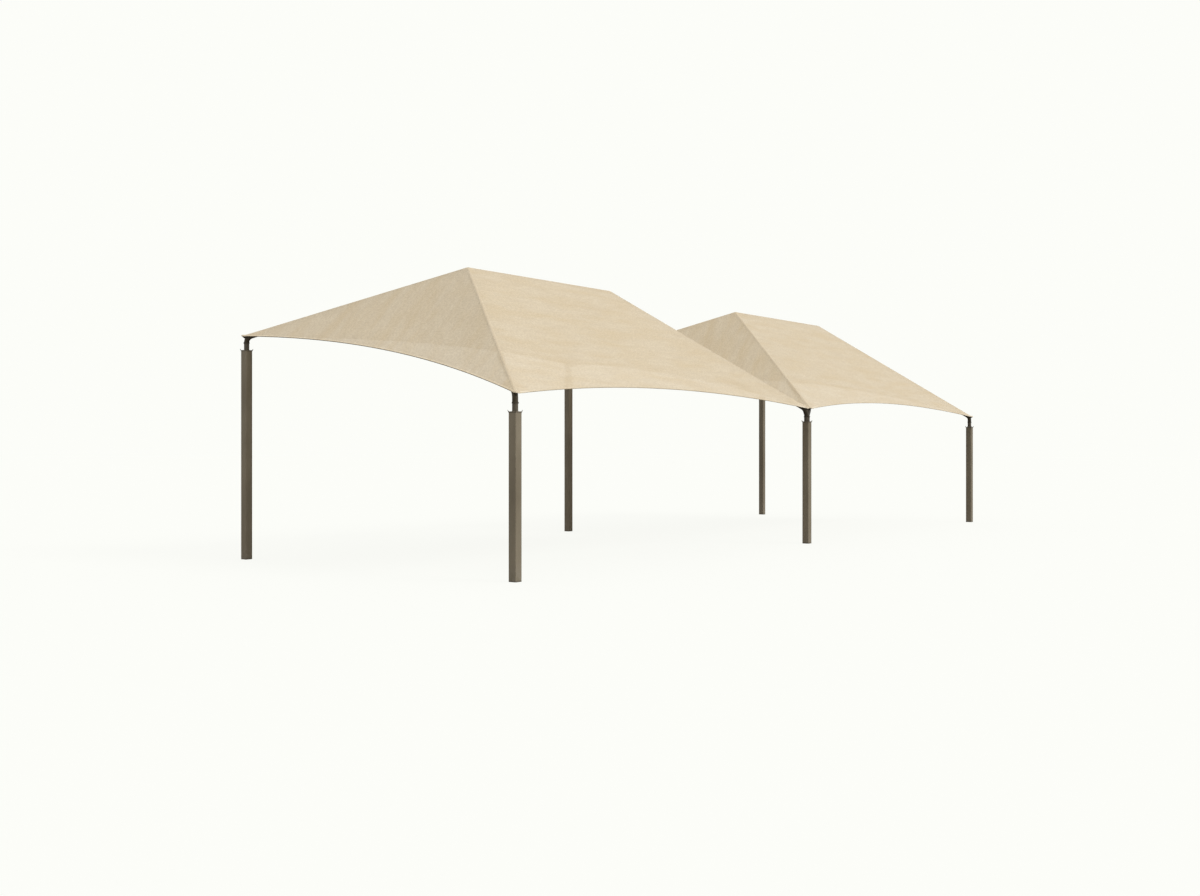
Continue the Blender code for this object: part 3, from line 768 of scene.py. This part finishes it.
def sewn_piece(name, grids, finish):
    # One mesh from several grids, joined where their edges lie together. A spot of a grid is its
    # point and its place in the knit, and on a sewn strip also its place along and across it.
    work = bmesh.new()
    maps = [work.loops.layers.uv.new(use) for use in ("cloth", "sewing")[:len(grids[0][0][0]) - 1]]
    for grid in grids:
        made = [[work.verts.new(spot[0]) for spot in line] for line in grid]
        for i in range(len(grid) - 1):
            for j in range(len(grid[i]) - 1):
                around = ((i, j), (i, j + 1), (i + 1, j + 1), (i + 1, j))
                face = work.faces.new([made[a][b] for a, b in around])
                for loop, (a, b) in zip(face.loops, around):
                    for layer, place in zip(maps, grid[a][b][1:]):
                        loop[layer].uv = place
    bmesh.ops.remove_doubles(work, verts=work.verts, dist=SEWN_WITHIN)
    bmesh.ops.dissolve_degenerate(work, edges=work.edges, dist=SLIVER)
    bmesh.ops.recalc_face_normals(work, faces=work.faces)
    if sum(face.normal.z * face.calc_area() for face in work.faces) < 0:
        bmesh.ops.reverse_faces(work, faces=work.faces)
    mesh = bpy.data.meshes.new(name)
    work.to_mesh(mesh)
    work.free()
    return smooth_piece(mesh, finish)


def cloth_place(panel, spot):
    # Where a spot lies in the knit, in metres along and across its courses.
    slope = (UP - panel.normal * panel.normal.z).normalized()
    level = panel.normal.cross(UP).normalized()
    along, across = (level, slope) if panel.name in LONG_PANELS else (slope, level)
    return spot.dot(along), spot.dot(across)


def mixed_way(first, second, share):
    return (first * (1 - share) + second * share).normalized()


def panel_grid(panel):
    columns = COLUMNS[panel.name]
    inner = [eave(panel, HEM_STOP + (panel.length - 2 * HEM_STOP) * k / columns) + panel.rise * HEM_INSET
             for k in range(columns + 1)]
    edge = [panel.low[0].lerp(inner[0], k / CUT_COLUMNS) for k in range(CUT_COLUMNS)] + inner
    edge += [inner[-1].lerp(panel.low[1], k / CUT_COLUMNS) for k in range(1, CUT_COLUMNS + 1)]
    across = panel.low[1] - panel.low[0]
    grid = []
    for i in range(ROWS + 1):
        s = i / ROWS
        left, right = (panel.low[k].lerp(panel.high[k], s) for k in (0, 1))
        line = []
        for j, foot in enumerate(edge):
            at_foot = (foot - panel.low[0]).dot(across) / across.length_squared
            t = at_foot * (1 - s) + j / (len(edge) - 1) * s
            off = foot - panel.low[0].lerp(panel.low[1], at_foot)
            spot = left.lerp(right, t) + off * (1 - s)
            line.append((drape(panel, spot), cloth_place(panel, spot)))
        grid.append(line)
    return grid


def round_tube(panels, station, level):
    # One line of the cloth that lies round a tube, from the one panel to the other.
    first, second = panels
    line = []
    for k in range(CREASE_STEPS + 1):
        spot = station + mixed_way(first.normal, second.normal, k / CREASE_STEPS) * level
        line.append((spot, cloth_place(first if 2 * k < CREASE_STEPS else second, spot)))
    return line


def apex_grid(bay, end, lift=0.0):
    # The rounded cloth over the end of the ridge, where three panels meet.
    front, back, side = (bay.panels[name].normal for name in ("front", "back", end))
    grid = []
    for i in range(CREASE_STEPS + 1):
        up_share = i / CREASE_STEPS
        line = []
        for j in range(CREASE_STEPS + 1):
            along = j / CREASE_STEPS
            way = front * ((1 - up_share) * (1 - along)) + back * ((1 - up_share) * along)
            spot = bay.hubs[end] + (way + side * up_share).normalized() * (CLOTH_LEVEL + lift)
            line.append((spot, cloth_place(bay.panels["front"], spot)))
        grid.append(line)
    return grid


def on_map(tree, use):
    # A place on the cloth, from the map of that use.
    place = add(tree, "UVMap")
    place.uv_map = use
    return place.outputs["UV"]


def layered(tree, share, first, second):
    # Shader that goes from the first to the second as the share goes from 0 to 1.
    made = add(tree, "MixShader", Fac=share)
    plug(tree, made.inputs[1], first.outputs[0])
    plug(tree, made.inputs[2], second.outputs[0])
    return made


def shade_cloth(name, doubled):
    # Knitted sand cloth: courses of small loops, streaks and cloudy fading, some light through it.
    finish, tree = new_finish(name)
    flat = on_map(tree, "cloth")
    colour = CLOTH_SAND
    patterns = {}
    for layer, (stretch, detail, band, tint) in CLOTH_LAYERS.items():
        patterns[layer] = grain(tree, flat, stretch, detail)
        colour = tinted(tree, spread(tree, patterns[layer], *band), colour, tint)
    loops = []
    for direction, pitch in LOOP_PITCH.items():
        wave = add(tree, "TexWave", Vector=flat, Scale=math.pi / (10 * pitch), Distortion=1.2, Detail=1.0,
                   Detail_Scale=0.6)
        wave.bands_direction = direction
        loops.append(wave.outputs["Fac"])
    knit = combined(tree, "MULTIPLY", *loops)
    colour = tinted(tree, spread(tree, knit, 0.05, 0.6, 0.22, 0.0), colour, CLOTH_SHADE)
    relief = combined(tree, "ADD", knit, combined(tree, "MULTIPLY", patterns["streaks"], 0.5))
    bump = add(tree, "Bump", Strength=0.5, Distance=0.0007, Height=relief).outputs["Normal"]
    rough = spread(tree, patterns["streaks"], 0.3, 0.7, 0.82, 0.94)
    face = add(tree, "BsdfPrincipled", Base_Color=colour, Roughness=rough, Normal=bump,
               Specular_IOR_Level=0.2, Sheen_Weight=0.12, Sheen_Roughness=0.5)
    through = add(tree, "BsdfTranslucent", Color=colour, Normal=bump)
    shown = layered(tree, THROUGH_DOUBLED if doubled else THROUGH_SHARE, face, through)
    if not doubled:
        shown = layered(tree, OPEN_SHARE, shown, add(tree, "BsdfTransparent"))
    add(tree, "OutputMaterial", Surface=shown.outputs[0])
    return finish


cover = shade_cloth("sand_shade_cloth", False)
for bay in bays:
    for panel in bay.panels.values():
        lift = panel.normal * CLOTH_LEVEL
        panel.low = [hip_foot(bay, corner) + lift for corner in panel.ends]
        panel.high = [bay.hubs[end] + lift for row, end in panel.ends]
        panel.centre = (panel.low[0] + panel.low[1] + panel.high[0] + panel.high[1]) / 4
    grids = [panel_grid(panel) for panel in bay.panels.values()]
    count = COLUMNS["front"] + 2 * CUT_COLUMNS
    ridge_stations = [bay.hubs["left"].lerp(bay.hubs["right"], k / count) for k in range(count + 1)]
    creases = [(corner, hip_stations(bay, corner, 0, ROWS)) for corner in bay.knees]
    for names, stations in creases + [(LONG_PANELS, ridge_stations)]:
        panels = [bay.panels[name] for name in names]
        grids.append([round_tube(panels, station, CLOTH_LEVEL) for station in stations])
    grids += [apex_grid(bay, end) for end in ("left", "right")]
    bay.canopy = sewn_piece("canopy_" + bay.name, grids, cover)
    parts = [name if name in LONG_PANELS else name + "_end" for name in PANEL_ENDS]
    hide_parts(*("canopy_" + bay.name + "_" + part for part in parts))


# Seams: the panels are felled together along the hips and the ridge under a doubled strip, and a
# doubled round patch covers each end of the ridge. Two rows of thread hold each side of them.

SEAM_SIDE = 0.012
SEAM_LIFT = 0.0013
FLAT_LIFT = 0.00025
SEAM_STEP = 0.10
SEAM_SHARES = (1.0, 0.94, 0.5)
RIDGE_SEAM_SHORT = 0.3
APEX_REACH = 0.115
APEX_LIFT = 0.0022
APEX_RINGS = (0.0, 0.35, 0.7, 0.96, 1.0)
SECTOR_STEPS = 7
SEAM_ROWS = (0.0035, 0.009)
SEAM_DULLED = 0.22
STITCH_PITCH = 0.0046
STITCH_RISE = 2.2
THREAD_WIDTH = 0.0011
THREAD = (0.70, 0.62, 0.47, 1.0)
BLEACHED = (0.740, 0.660, 0.520, 1.0)
DIRT_AND_SHADE = (0.130, 0.098, 0.062, 1.0)


def stitched_cloth(name, rows, dulled=0.0, pale_ends=None, soil_and_shade=0.0):
    # Doubled sand cloth with rows of thread at these distances from its edge. It can be duller all
    # over, paler near its ends, and darker on the faces that look down, which is dirt with painted
    # shade on the underside.
    finish = shade_cloth(name, True)
    tree = finish.node_tree
    face, through, bump = (tree.nodes[kind] for kind in ("Principled BSDF", "Translucent BSDF", "Bump"))
    strip = on_map(tree, "sewing")
    place = add(tree, "SeparateXYZ", Vector=strip).outputs
    along = combined(tree, "PINGPONG", place["X"], STITCH_PITCH / 2)
    thread = None
    for row in rows:
        off = combined(tree, "ABSOLUTE", combined(tree, "SUBTRACT", place["Y"], row), 0.0)
        line = spread(tree, off, THREAD_WIDTH * 0.5, THREAD_WIDTH * 0.9, 1.0, 0.0)
        thread = combined(tree, "MAXIMUM", thread, line) if thread else line
    dash = spread(tree, along, STITCH_PITCH * 0.08, STITCH_PITCH * 0.16, 0.15, 1.0)
    thread = combined(tree, "MULTIPLY", thread, dash)
    colour = through.inputs["Color"].links[0].from_socket
    if pale_ends:
        colour = tinted(tree, spread(tree, place["X"], *pale_ends, 0.6, 0.0), colour, BLEACHED)
    if dulled:
        colour = tinted(tree, dulled, colour, CLOTH_SHADE)
    colour = tinted(tree, thread, colour, THREAD)
    # Faces that look down darken: dirt with painted shade on the hem's underside.
    if soil_and_shade:
        looks = add(tree, "SeparateXYZ", Vector=add(tree, "NewGeometry").outputs["Normal"])
        underside_dirt_and_shade = spread(tree, looks.outputs["Z"], 0.55, -0.15, 0.0, soil_and_shade)
        patchy = spread(tree, grain(tree, strip, (2.5, 40.0, 1.0), 4.0), 0.30, 0.60, 0.55, 1.0)
        colour = tinted(tree, combined(tree, "MULTIPLY", underside_dirt_and_shade, patchy), colour, DIRT_AND_SHADE)
    plug(tree, face.inputs["Base Color"], colour)
    plug(tree, through.inputs["Color"], colour)
    relief = bump.inputs["Height"]
    raised = combined(tree, "MULTIPLY", thread, STITCH_RISE)
    plug(tree, relief, combined(tree, "ADD", relief.links[0].from_socket, raised))
    return finish


def seam_grid(panels, stations):
    # Strip of doubled cloth over one seam, from the flat of one panel to the flat of the other.
    along = (stations[-1] - stations[0]).normalized()
    normals = [panel.normal for panel in panels]
    grid = []
    for station in stations:
        travelled = (station - stations[0]).length
        flanks = ([], [])
        for k, panel in enumerate(panels):
            inward = facing(along.cross(normals[k]), normals[k] - normals[1 - k])
            for share in SEAM_SHARES:
                lift = FLAT_LIFT if share == 1.0 else SEAM_LIFT
                spot = station + normals[k] * (CLOTH_LEVEL + lift) + inward * (SEAM_SIDE * share)
                flanks[k].append((spot, cloth_place(panel, spot), (travelled, SEAM_SIDE * (1 - share))))
        top = round_tube(panels, station, CLOTH_LEVEL + SEAM_LIFT)
        grid.append(flanks[0] + [(*spot, (travelled, SEAM_SIDE)) for spot in top] + flanks[1][::-1])
    return grid


def apex_patch(bay, end):
    # Doubled round patch over the end of the ridge, as rings round the hub.
    inward = bay.inward[end]
    front_down, back_down = (-bay.hip_ways[row, end] for row in ("front", "back"))
    front, back, side = (bay.panels[name] for name in ("front", "back", end))
    around = []
    for panel, first, last, following in ((front, inward, front_down, side),
                                          (side, front_down, back_down, back),
                                          (back, back_down, inward, front)):
        for k in range(SECTOR_STEPS):
            around.append((panel, mixed_way(first, last, k / SECTOR_STEPS), panel.normal))
        for k in range(CREASE_STEPS):
            around.append((panel, last, mixed_way(panel.normal, following.normal, k / CREASE_STEPS)))
    around.append(around[0])
    grid = []
    for share in APEX_RINGS:
        lift = FLAT_LIFT if share == 1.0 else APEX_LIFT
        line = []
        for k, (panel, out, normal) in enumerate(around):
            spot = bay.hubs[end] + out * (APEX_REACH * share) + normal * (CLOTH_LEVEL + lift)
            turned = APEX_REACH * 2 * math.pi * k / (len(around) - 1)
            line.append((spot, cloth_place(panel, spot), (turned, APEX_REACH * (1 - share))))
        grid.append(line)
    middle = [[(*spot, (0.0, APEX_REACH)) for spot in line] for line in apex_grid(bay, end, APEX_LIFT)]
    return [grid, middle]


seam_cloth = stitched_cloth("doubled_seam_cloth", SEAM_ROWS, dulled=SEAM_DULLED)
for bay in bays:
    grids = []
    for corner in bay.knees:
        length = (bay.hubs[corner[1]] - hip_foot(bay, corner)).length - SEAM_SIDE * 2
        stations = hip_stations(bay, corner, SEAM_SIDE * 2, round(length / SEAM_STEP))
        grids.append(seam_grid([bay.panels[name] for name in corner], stations))
    count = round(bay.ridge_length / SEAM_STEP)
    shares = [(k + RIDGE_SEAM_SHORT) / (count + 2 * RIDGE_SEAM_SHORT) for k in range(count + 1)]
    stations = [bay.hubs["left"].lerp(bay.hubs["right"], share) for share in shares]
    grids.append(seam_grid([bay.panels[name] for name in LONG_PANELS], stations))
    for end in ("left", "right"):
        grids += apex_patch(bay, end)
    bay.sewn_on = [sewn_piece("seams_" + bay.name, grids, seam_cloth)]


# Hems: the lower edge of each panel is turned round the rope and sewn down flat on both faces
# with two rows of thread. It ends short of the corner, where the rope comes out to its ear.

HEM_RADIUS = 0.0078
HEM_FLAP = 0.034
HEM_STEP = 0.030
HEM_TURN_FROM = 50
HEM_TURN_BY = 260
HEM_TURN_STEPS = 10
HEM_ROWS = (0.004, 0.020)
HEM_PUCKER = 0.0006
PUCKERS = 31
PUCKER_STEP = 0.35
# The hems' downward faces darken by this much, dirt with painted shade.
HEMS = {
    "long_edges": (("front", "back"), {"pale_ends": (0.26, 0.44), "soil_and_shade": 0.12}),
    "end_edges": (("left", "right"), {"soil_and_shade": 0.95}),
}

# The flap's outline from its sewn edge to the rope, up the panel and out from it.
HEM_OUTLINE = [(HEM_FLAP, FLAT_LIFT), (HEM_FLAP * 0.97, SEAM_LIFT), (HEM_FLAP * 0.6, SEAM_LIFT * 1.3),
               (HEM_RADIUS * 1.5, HEM_RADIUS * 0.42)]


def hem_grid(panel):
    covered = panel.length - 2 * HEM_STOP
    count = round(covered / HEM_STEP)
    turn = [math.radians(HEM_TURN_FROM + HEM_TURN_BY * k / HEM_TURN_STEPS) for k in range(HEM_TURN_STEPS + 1)]
    outline = HEM_OUTLINE + [(HEM_RADIUS * math.cos(a), HEM_RADIUS * math.sin(a)) for a in turn]
    outline += [(up, -out) for up, out in reversed(HEM_OUTLINE)]
    across = [0.0]
    for before, after in zip(outline, outline[1:]):
        across.append(across[-1] + math.dist(after, before))
    grid = []
    for i in range(count + 1):
        distance = HEM_STOP + covered * i / count
        foot = eave(panel, distance)
        before, after = beside(panel, distance)
        upward = facing(panel.normal.cross((after - before).normalized()), UP)
        line = []
        for k, (up, out) in enumerate(outline):
            swell = 1 + HEM_PUCKER / HEM_RADIUS * noise.noise(foot * PUCKERS + UP * (k * PUCKER_STEP))
            spot = foot + upward * (up * swell) + panel.normal * (out * swell)
            from_end = min(distance, panel.length - distance)
            line.append((spot, cloth_place(panel, spot), (from_end, min(across[k], across[-1] - across[k]))))
        grid.append(line)
    return grid


for edges, (names, looks) in HEMS.items():
    hem_cloth = stitched_cloth("hem_cloth_on_" + edges, HEM_ROWS, **looks)
    for bay in bays:
        grids = [hem_grid(bay.panels[name]) for name in names]
        bay.sewn_on.append(sewn_piece("hems_" + bay.name + "_" + edges, grids, hem_cloth))


# Corner patches: a doubled layer of cloth over each corner, folded over the hip and sewn round
# its edge, which takes the pull of the rope.

PATCH_UP_HIP = 0.46
PATCH_ALONG_EDGE = 0.40
PATCH_ON_HEM = 0.8
PATCH_LIFT = 0.0011
PATCH_EDGE_LIFT = 0.0005
PATCH_COLUMNS = 18
PATCH_ROWS = 24
PATCH_FRAME = 0.975
PATCH_DULLED = 0.16
CAST_FROM = 0.1
CAST_REACH = 0.3


def laid_on(tree, spot, normal, lift):
    # The place on the hung cloth under a spot of the flat panel, and a little above it.
    place = tree.ray_cast(spot + normal * CAST_FROM, -normal, CAST_REACH)[0]
    return (place or spot) + normal * lift


def eave_from(panel, corner, distance):
    # The point of the curved edge that is so far from this one of its corners.
    return eave(panel, distance if panel.ends[0] == corner else panel.length - distance)


def patch_lift(row):
    return PATCH_EDGE_LIFT if row > PATCH_ROWS else PATCH_LIFT


def patch_half(bay, corner, panel):
    # Columns of the patch on one panel, from the hem towards the hip tube.
    k = panel.ends.index(corner)
    low = panel.low[k]
    way = (panel.high[k] - low).normalized()
    columns = []
    for c in range(PATCH_COLUMNS + 1):
        column = []
        for r in range(PATCH_ROWS + 2):
            share = min(1.0, r / PATCH_ROWS * PATCH_FRAME) if r <= PATCH_ROWS else 1.0
            edge = eave_from(panel, corner, HEM_STOP + (PATCH_ALONG_EDGE - HEM_STOP) * share)
            edge += panel.rise * (HEM_FLAP * PATCH_ON_HEM)
            spot = edge.lerp(low + way * (PATCH_UP_HIP * share), c / PATCH_COLUMNS)
            shown = laid_on(bay.cloth_tree, spot, panel.normal, patch_lift(r))
            sewing = (PATCH_ALONG_EDGE * c / PATCH_COLUMNS, PATCH_ALONG_EDGE * (1 - share))
            column.append((shown, cloth_place(panel, spot), sewing))
        columns.append(column)
    return columns


def corner_patch(bay, corner):
    panels = [panel for panel in bay.panels.values() if corner in panel.ends]
    first, second = (patch_half(bay, corner, panel) for panel in panels)
    normals = [panel.normal for panel in panels]
    bend = []
    for k in range(1, CREASE_STEPS):
        turned = mixed_way(*normals, k / CREASE_STEPS) - normals[0]
        bend.append([(spot + turned * (CLOTH_LEVEL + patch_lift(r)), place, sewing)
                     for r, (spot, place, sewing) in enumerate(first[-1])])
    return first + bend + second[::-1]


patch_cloth = stitched_cloth("corner_patch_cloth", SEAM_ROWS, dulled=PATCH_DULLED)
for bay in bays:
    cloth = bay.canopy.data
    spots = [vertex.co for vertex in cloth.vertices]
    bay.cloth_tree = BVHTree.FromPolygons(spots, [face.vertices for face in cloth.polygons])
    for corner in bay.knees:
        name = "corner_patch_" + bay.name + "_" + "_".join(corner)
        bay.sewn_on.append(sewn_piece(name, [corner_patch(bay, corner)], patch_cloth))


# Corner hoods: a small doubled piece over each corner, sewn to the patch and open below. It brings
# the cloth to a point over the ear and keeps the weather off the bare rope.

HOOD_UP_HIP = 0.135
HOOD_ON_HEM = 0.012
HOOD_TURN = 0.038
HOOD_LIFT = 0.0026
HOOD_EDGE_LIFT = 0.6
HOOD_EDGE_STEPS = 14
HOOD_TURN_STEPS = 8
HOOD_RINGS = (0.0, 0.05, 0.25, 0.42, 0.56, 0.68, 0.77, 0.84, 0.90, 0.95, 1.0)
ROPE_SWELL = (0.0085, 0.016)
EAR_SWELL = (0.0170, 0.036)
HOOD_RIM = ((0.0, 0.0), (0.006, 0.003), (0.0095, 0.009))


def on_cloth(bay, corner, spot):
    # The nearest point of the cloth round or beside a hip tube, and the way out of the cloth there.
    way = bay.hip_ways[corner]
    knee = bay.knees[corner]
    middle = knee + way * (spot - knee).dot(way)
    off = spot - middle
    normals = [bay.panels[name].normal for name in corner]
    for normal, other in (normals, normals[::-1]):
        if off.dot(facing(way.cross(normal), -other)) > 0:
            return spot - normal * (off.dot(normal) - CLOTH_LEVEL), normal
    return middle + off.normalized() * CLOTH_LEVEL, off.normalized()


def from_path(path, spot):
    near = []
    for a, b in zip(path, path[1:]):
        share = max(0.0, min(1.0, (spot - a).dot(b - a) / (b - a).length_squared))
        near.append((spot - a.lerp(b, share)).length)
    return min(near)


def bump_over(swell, distance):
    height, reach = swell
    return height * math.exp(-(distance / reach) ** 2)


def turned_path(bay, corner, start, turn, edge_steps, turn_steps):
    # Line along one curved edge, round the corner and up the other edge.
    distances = [start + (turn - start) * k / edge_steps for k in range(edge_steps + 1)]
    first, second = ([eave_from(bay.panels[name], corner, d) for d in distances] for name in corner)
    return first + bent(first[-1], bay.corners[corner], second[-1], turn_steps) + second[::-1]


def corner_hood(bay, corner):
    rim = turned_path(bay, corner, HEM_STOP + HOOD_ON_HEM, HOOD_TURN, HOOD_EDGE_STEPS, HOOD_TURN_STEPS)
    ear = turned_path(bay, corner, HEM_STOP, ROPE_TURN, 1, 2)[2]
    top = on_cloth(bay, corner, bay.corners[corner] + bay.hip_ways[corner] * HOOD_UP_HIP)[0]
    rim_drop = sum(math.dist(a, b) for a, b in zip(HOOD_RIM, HOOD_RIM[1:]))
    grid = []
    travelled = 0.0
    for i, foot in enumerate(rim):
        before, after = rim[max(i - 1, 0)], rim[min(i + 1, len(rim) - 1)]
        travelled += (foot - before).length
        at_side = i in (0, len(rim) - 1)
        panel = bay.panels[corner[0] if i < len(rim) / 2 else corner[1]]
        line = []
        for share in HOOD_RINGS:
            spot, out = on_cloth(bay, corner, top.lerp(foot, share))
            swell = max(bump_over(ROPE_SWELL, from_path(rim, spot)),
                        bump_over(EAR_SWELL, (spot - ear).length))
            lift = (HOOD_EDGE_LIFT if at_side or share == 0.0 else 1.0) * HOOD_LIFT + swell
            from_edge = min(rim_drop + (foot - top).length * (1 - share),
                            *(from_path([top, side], spot) for side in (rim[0], rim[-1])))
            line.append((spot + out * lift, cloth_place(panel, spot), (travelled, from_edge)))
        outward = facing((after - before).normalized().cross(out), foot - top)
        fall = -(out + UP).normalized()
        over = line[-1][0]
        from_edge = rim_drop
        for above, (across, down) in zip(HOOD_RIM, HOOD_RIM[1:]):
            from_edge -= math.dist((across, down), above)
            spot = over + outward * across + fall * down
            line.append((spot, cloth_place(panel, spot), (travelled, from_edge)))
        grid.append(line)
    return grid


for bay in bays:
    for corner in bay.knees:
        name = "corner_hood_" + bay.name + "_" + "_".join(corner)
        bay.sewn_on.append(sewn_piece(name, [corner_hood(bay, corner)], patch_cloth))


# Floor, studio light and camera: a pale floor that runs into a pale backdrop, one large soft lamp
# from the front and to the right, and even light all round.

PAPER = (0.975, 0.982, 0.942, 1.0)
FLOOR_GLOW = 0.922
FLOOR_MATT = (0.055, 0.055, 0.052, 1.0)
FLOOR_BOUNCE = (0.29, 0.285, 0.27, 1.0)
FLOOR_HALF = 200.0
FLOOR_DROP = 0.0005
SKY_LOW = 0.46
SKY_HIGH = 1.25
SUN_STRENGTH = 2.1
SUN_FROM = Vector((0.42, -1.25, 1.05))
SUN_SPREAD = math.radians(24)
EYE = (-22.798, -14.876, 1.9445)
EYE_TURN = math.radians(36.745)
FOCAL_PIXELS = 1259.7
HORIZON_ROW = 446.7
PHOTO_SIZE = (1200, 896)

floor_finish, tree = new_finish("studio_floor")
both = add(tree, "AddShader")
plug(tree, both.inputs[0], add(tree, "Emission", Color=PAPER, Strength=FLOOR_GLOW).outputs[0])
plug(tree, both.inputs[1], add(tree, "BsdfDiffuse", Color=FLOOR_MATT).outputs[0])
seen = add(tree, "LightPath").outputs["Is Camera Ray"]
shown = layered(tree, seen, add(tree, "BsdfDiffuse", Color=FLOOR_BOUNCE), both)
add(tree, "OutputMaterial", Surface=shown.outputs[0])
mesh = bpy.data.meshes.new("studio_floor")
ends = ((-1, -1), (1, -1), (1, 1), (-1, 1))
mesh.from_pydata([(x * FLOOR_HALF, y * FLOOR_HALF, -FLOOR_DROP) for x, y in ends], [], [(0, 1, 2, 3)])
mesh.materials.append(floor_finish)
placed("studio_floor", mesh)

world = bpy.data.worlds.new("studio")
bpy.context.scene.world = world
world.use_nodes = True
tree = world.node_tree
tree.nodes.clear()
height = add(tree, "SeparateXYZ", Vector=add(tree, "TexCoord").outputs["Generated"]).outputs["Z"]
around = add(tree, "Background", Color=(1.0, 1.0, 1.0, 1.0),
             Strength=spread(tree, height, 0.0, 1.0, SKY_LOW, SKY_HIGH))
seen = add(tree, "LightPath").outputs["Is Camera Ray"]
shown = layered(tree, seen, around, add(tree, "Background", Color=PAPER, Strength=1.0))
add(tree, "OutputWorld", Surface=shown.outputs[0])

lamp = bpy.data.lights.new("soft_lamp", "SUN")
lamp.energy = SUN_STRENGTH
lamp.angle = SUN_SPREAD
placed("soft_lamp", lamp).rotation_euler = SUN_FROM.to_track_quat("Z", "Y").to_euler()

eye = bpy.data.cameras.new("photo_view")
eye.sensor_width = 36.0
eye.lens = FOCAL_PIXELS * eye.sensor_width / PHOTO_SIZE[0]
eye.shift_y = (HORIZON_ROW - PHOTO_SIZE[1] / 2) / PHOTO_SIZE[0]
eye.clip_end = 1000.0
camera = placed("photo_view", eye)
camera.location = EYE
camera.rotation_euler = (math.pi / 2, 0.0, EYE_TURN - math.pi / 2)
bpy.context.scene.camera = camera
bpy.context.scene.view_settings.view_transform = "Standard"
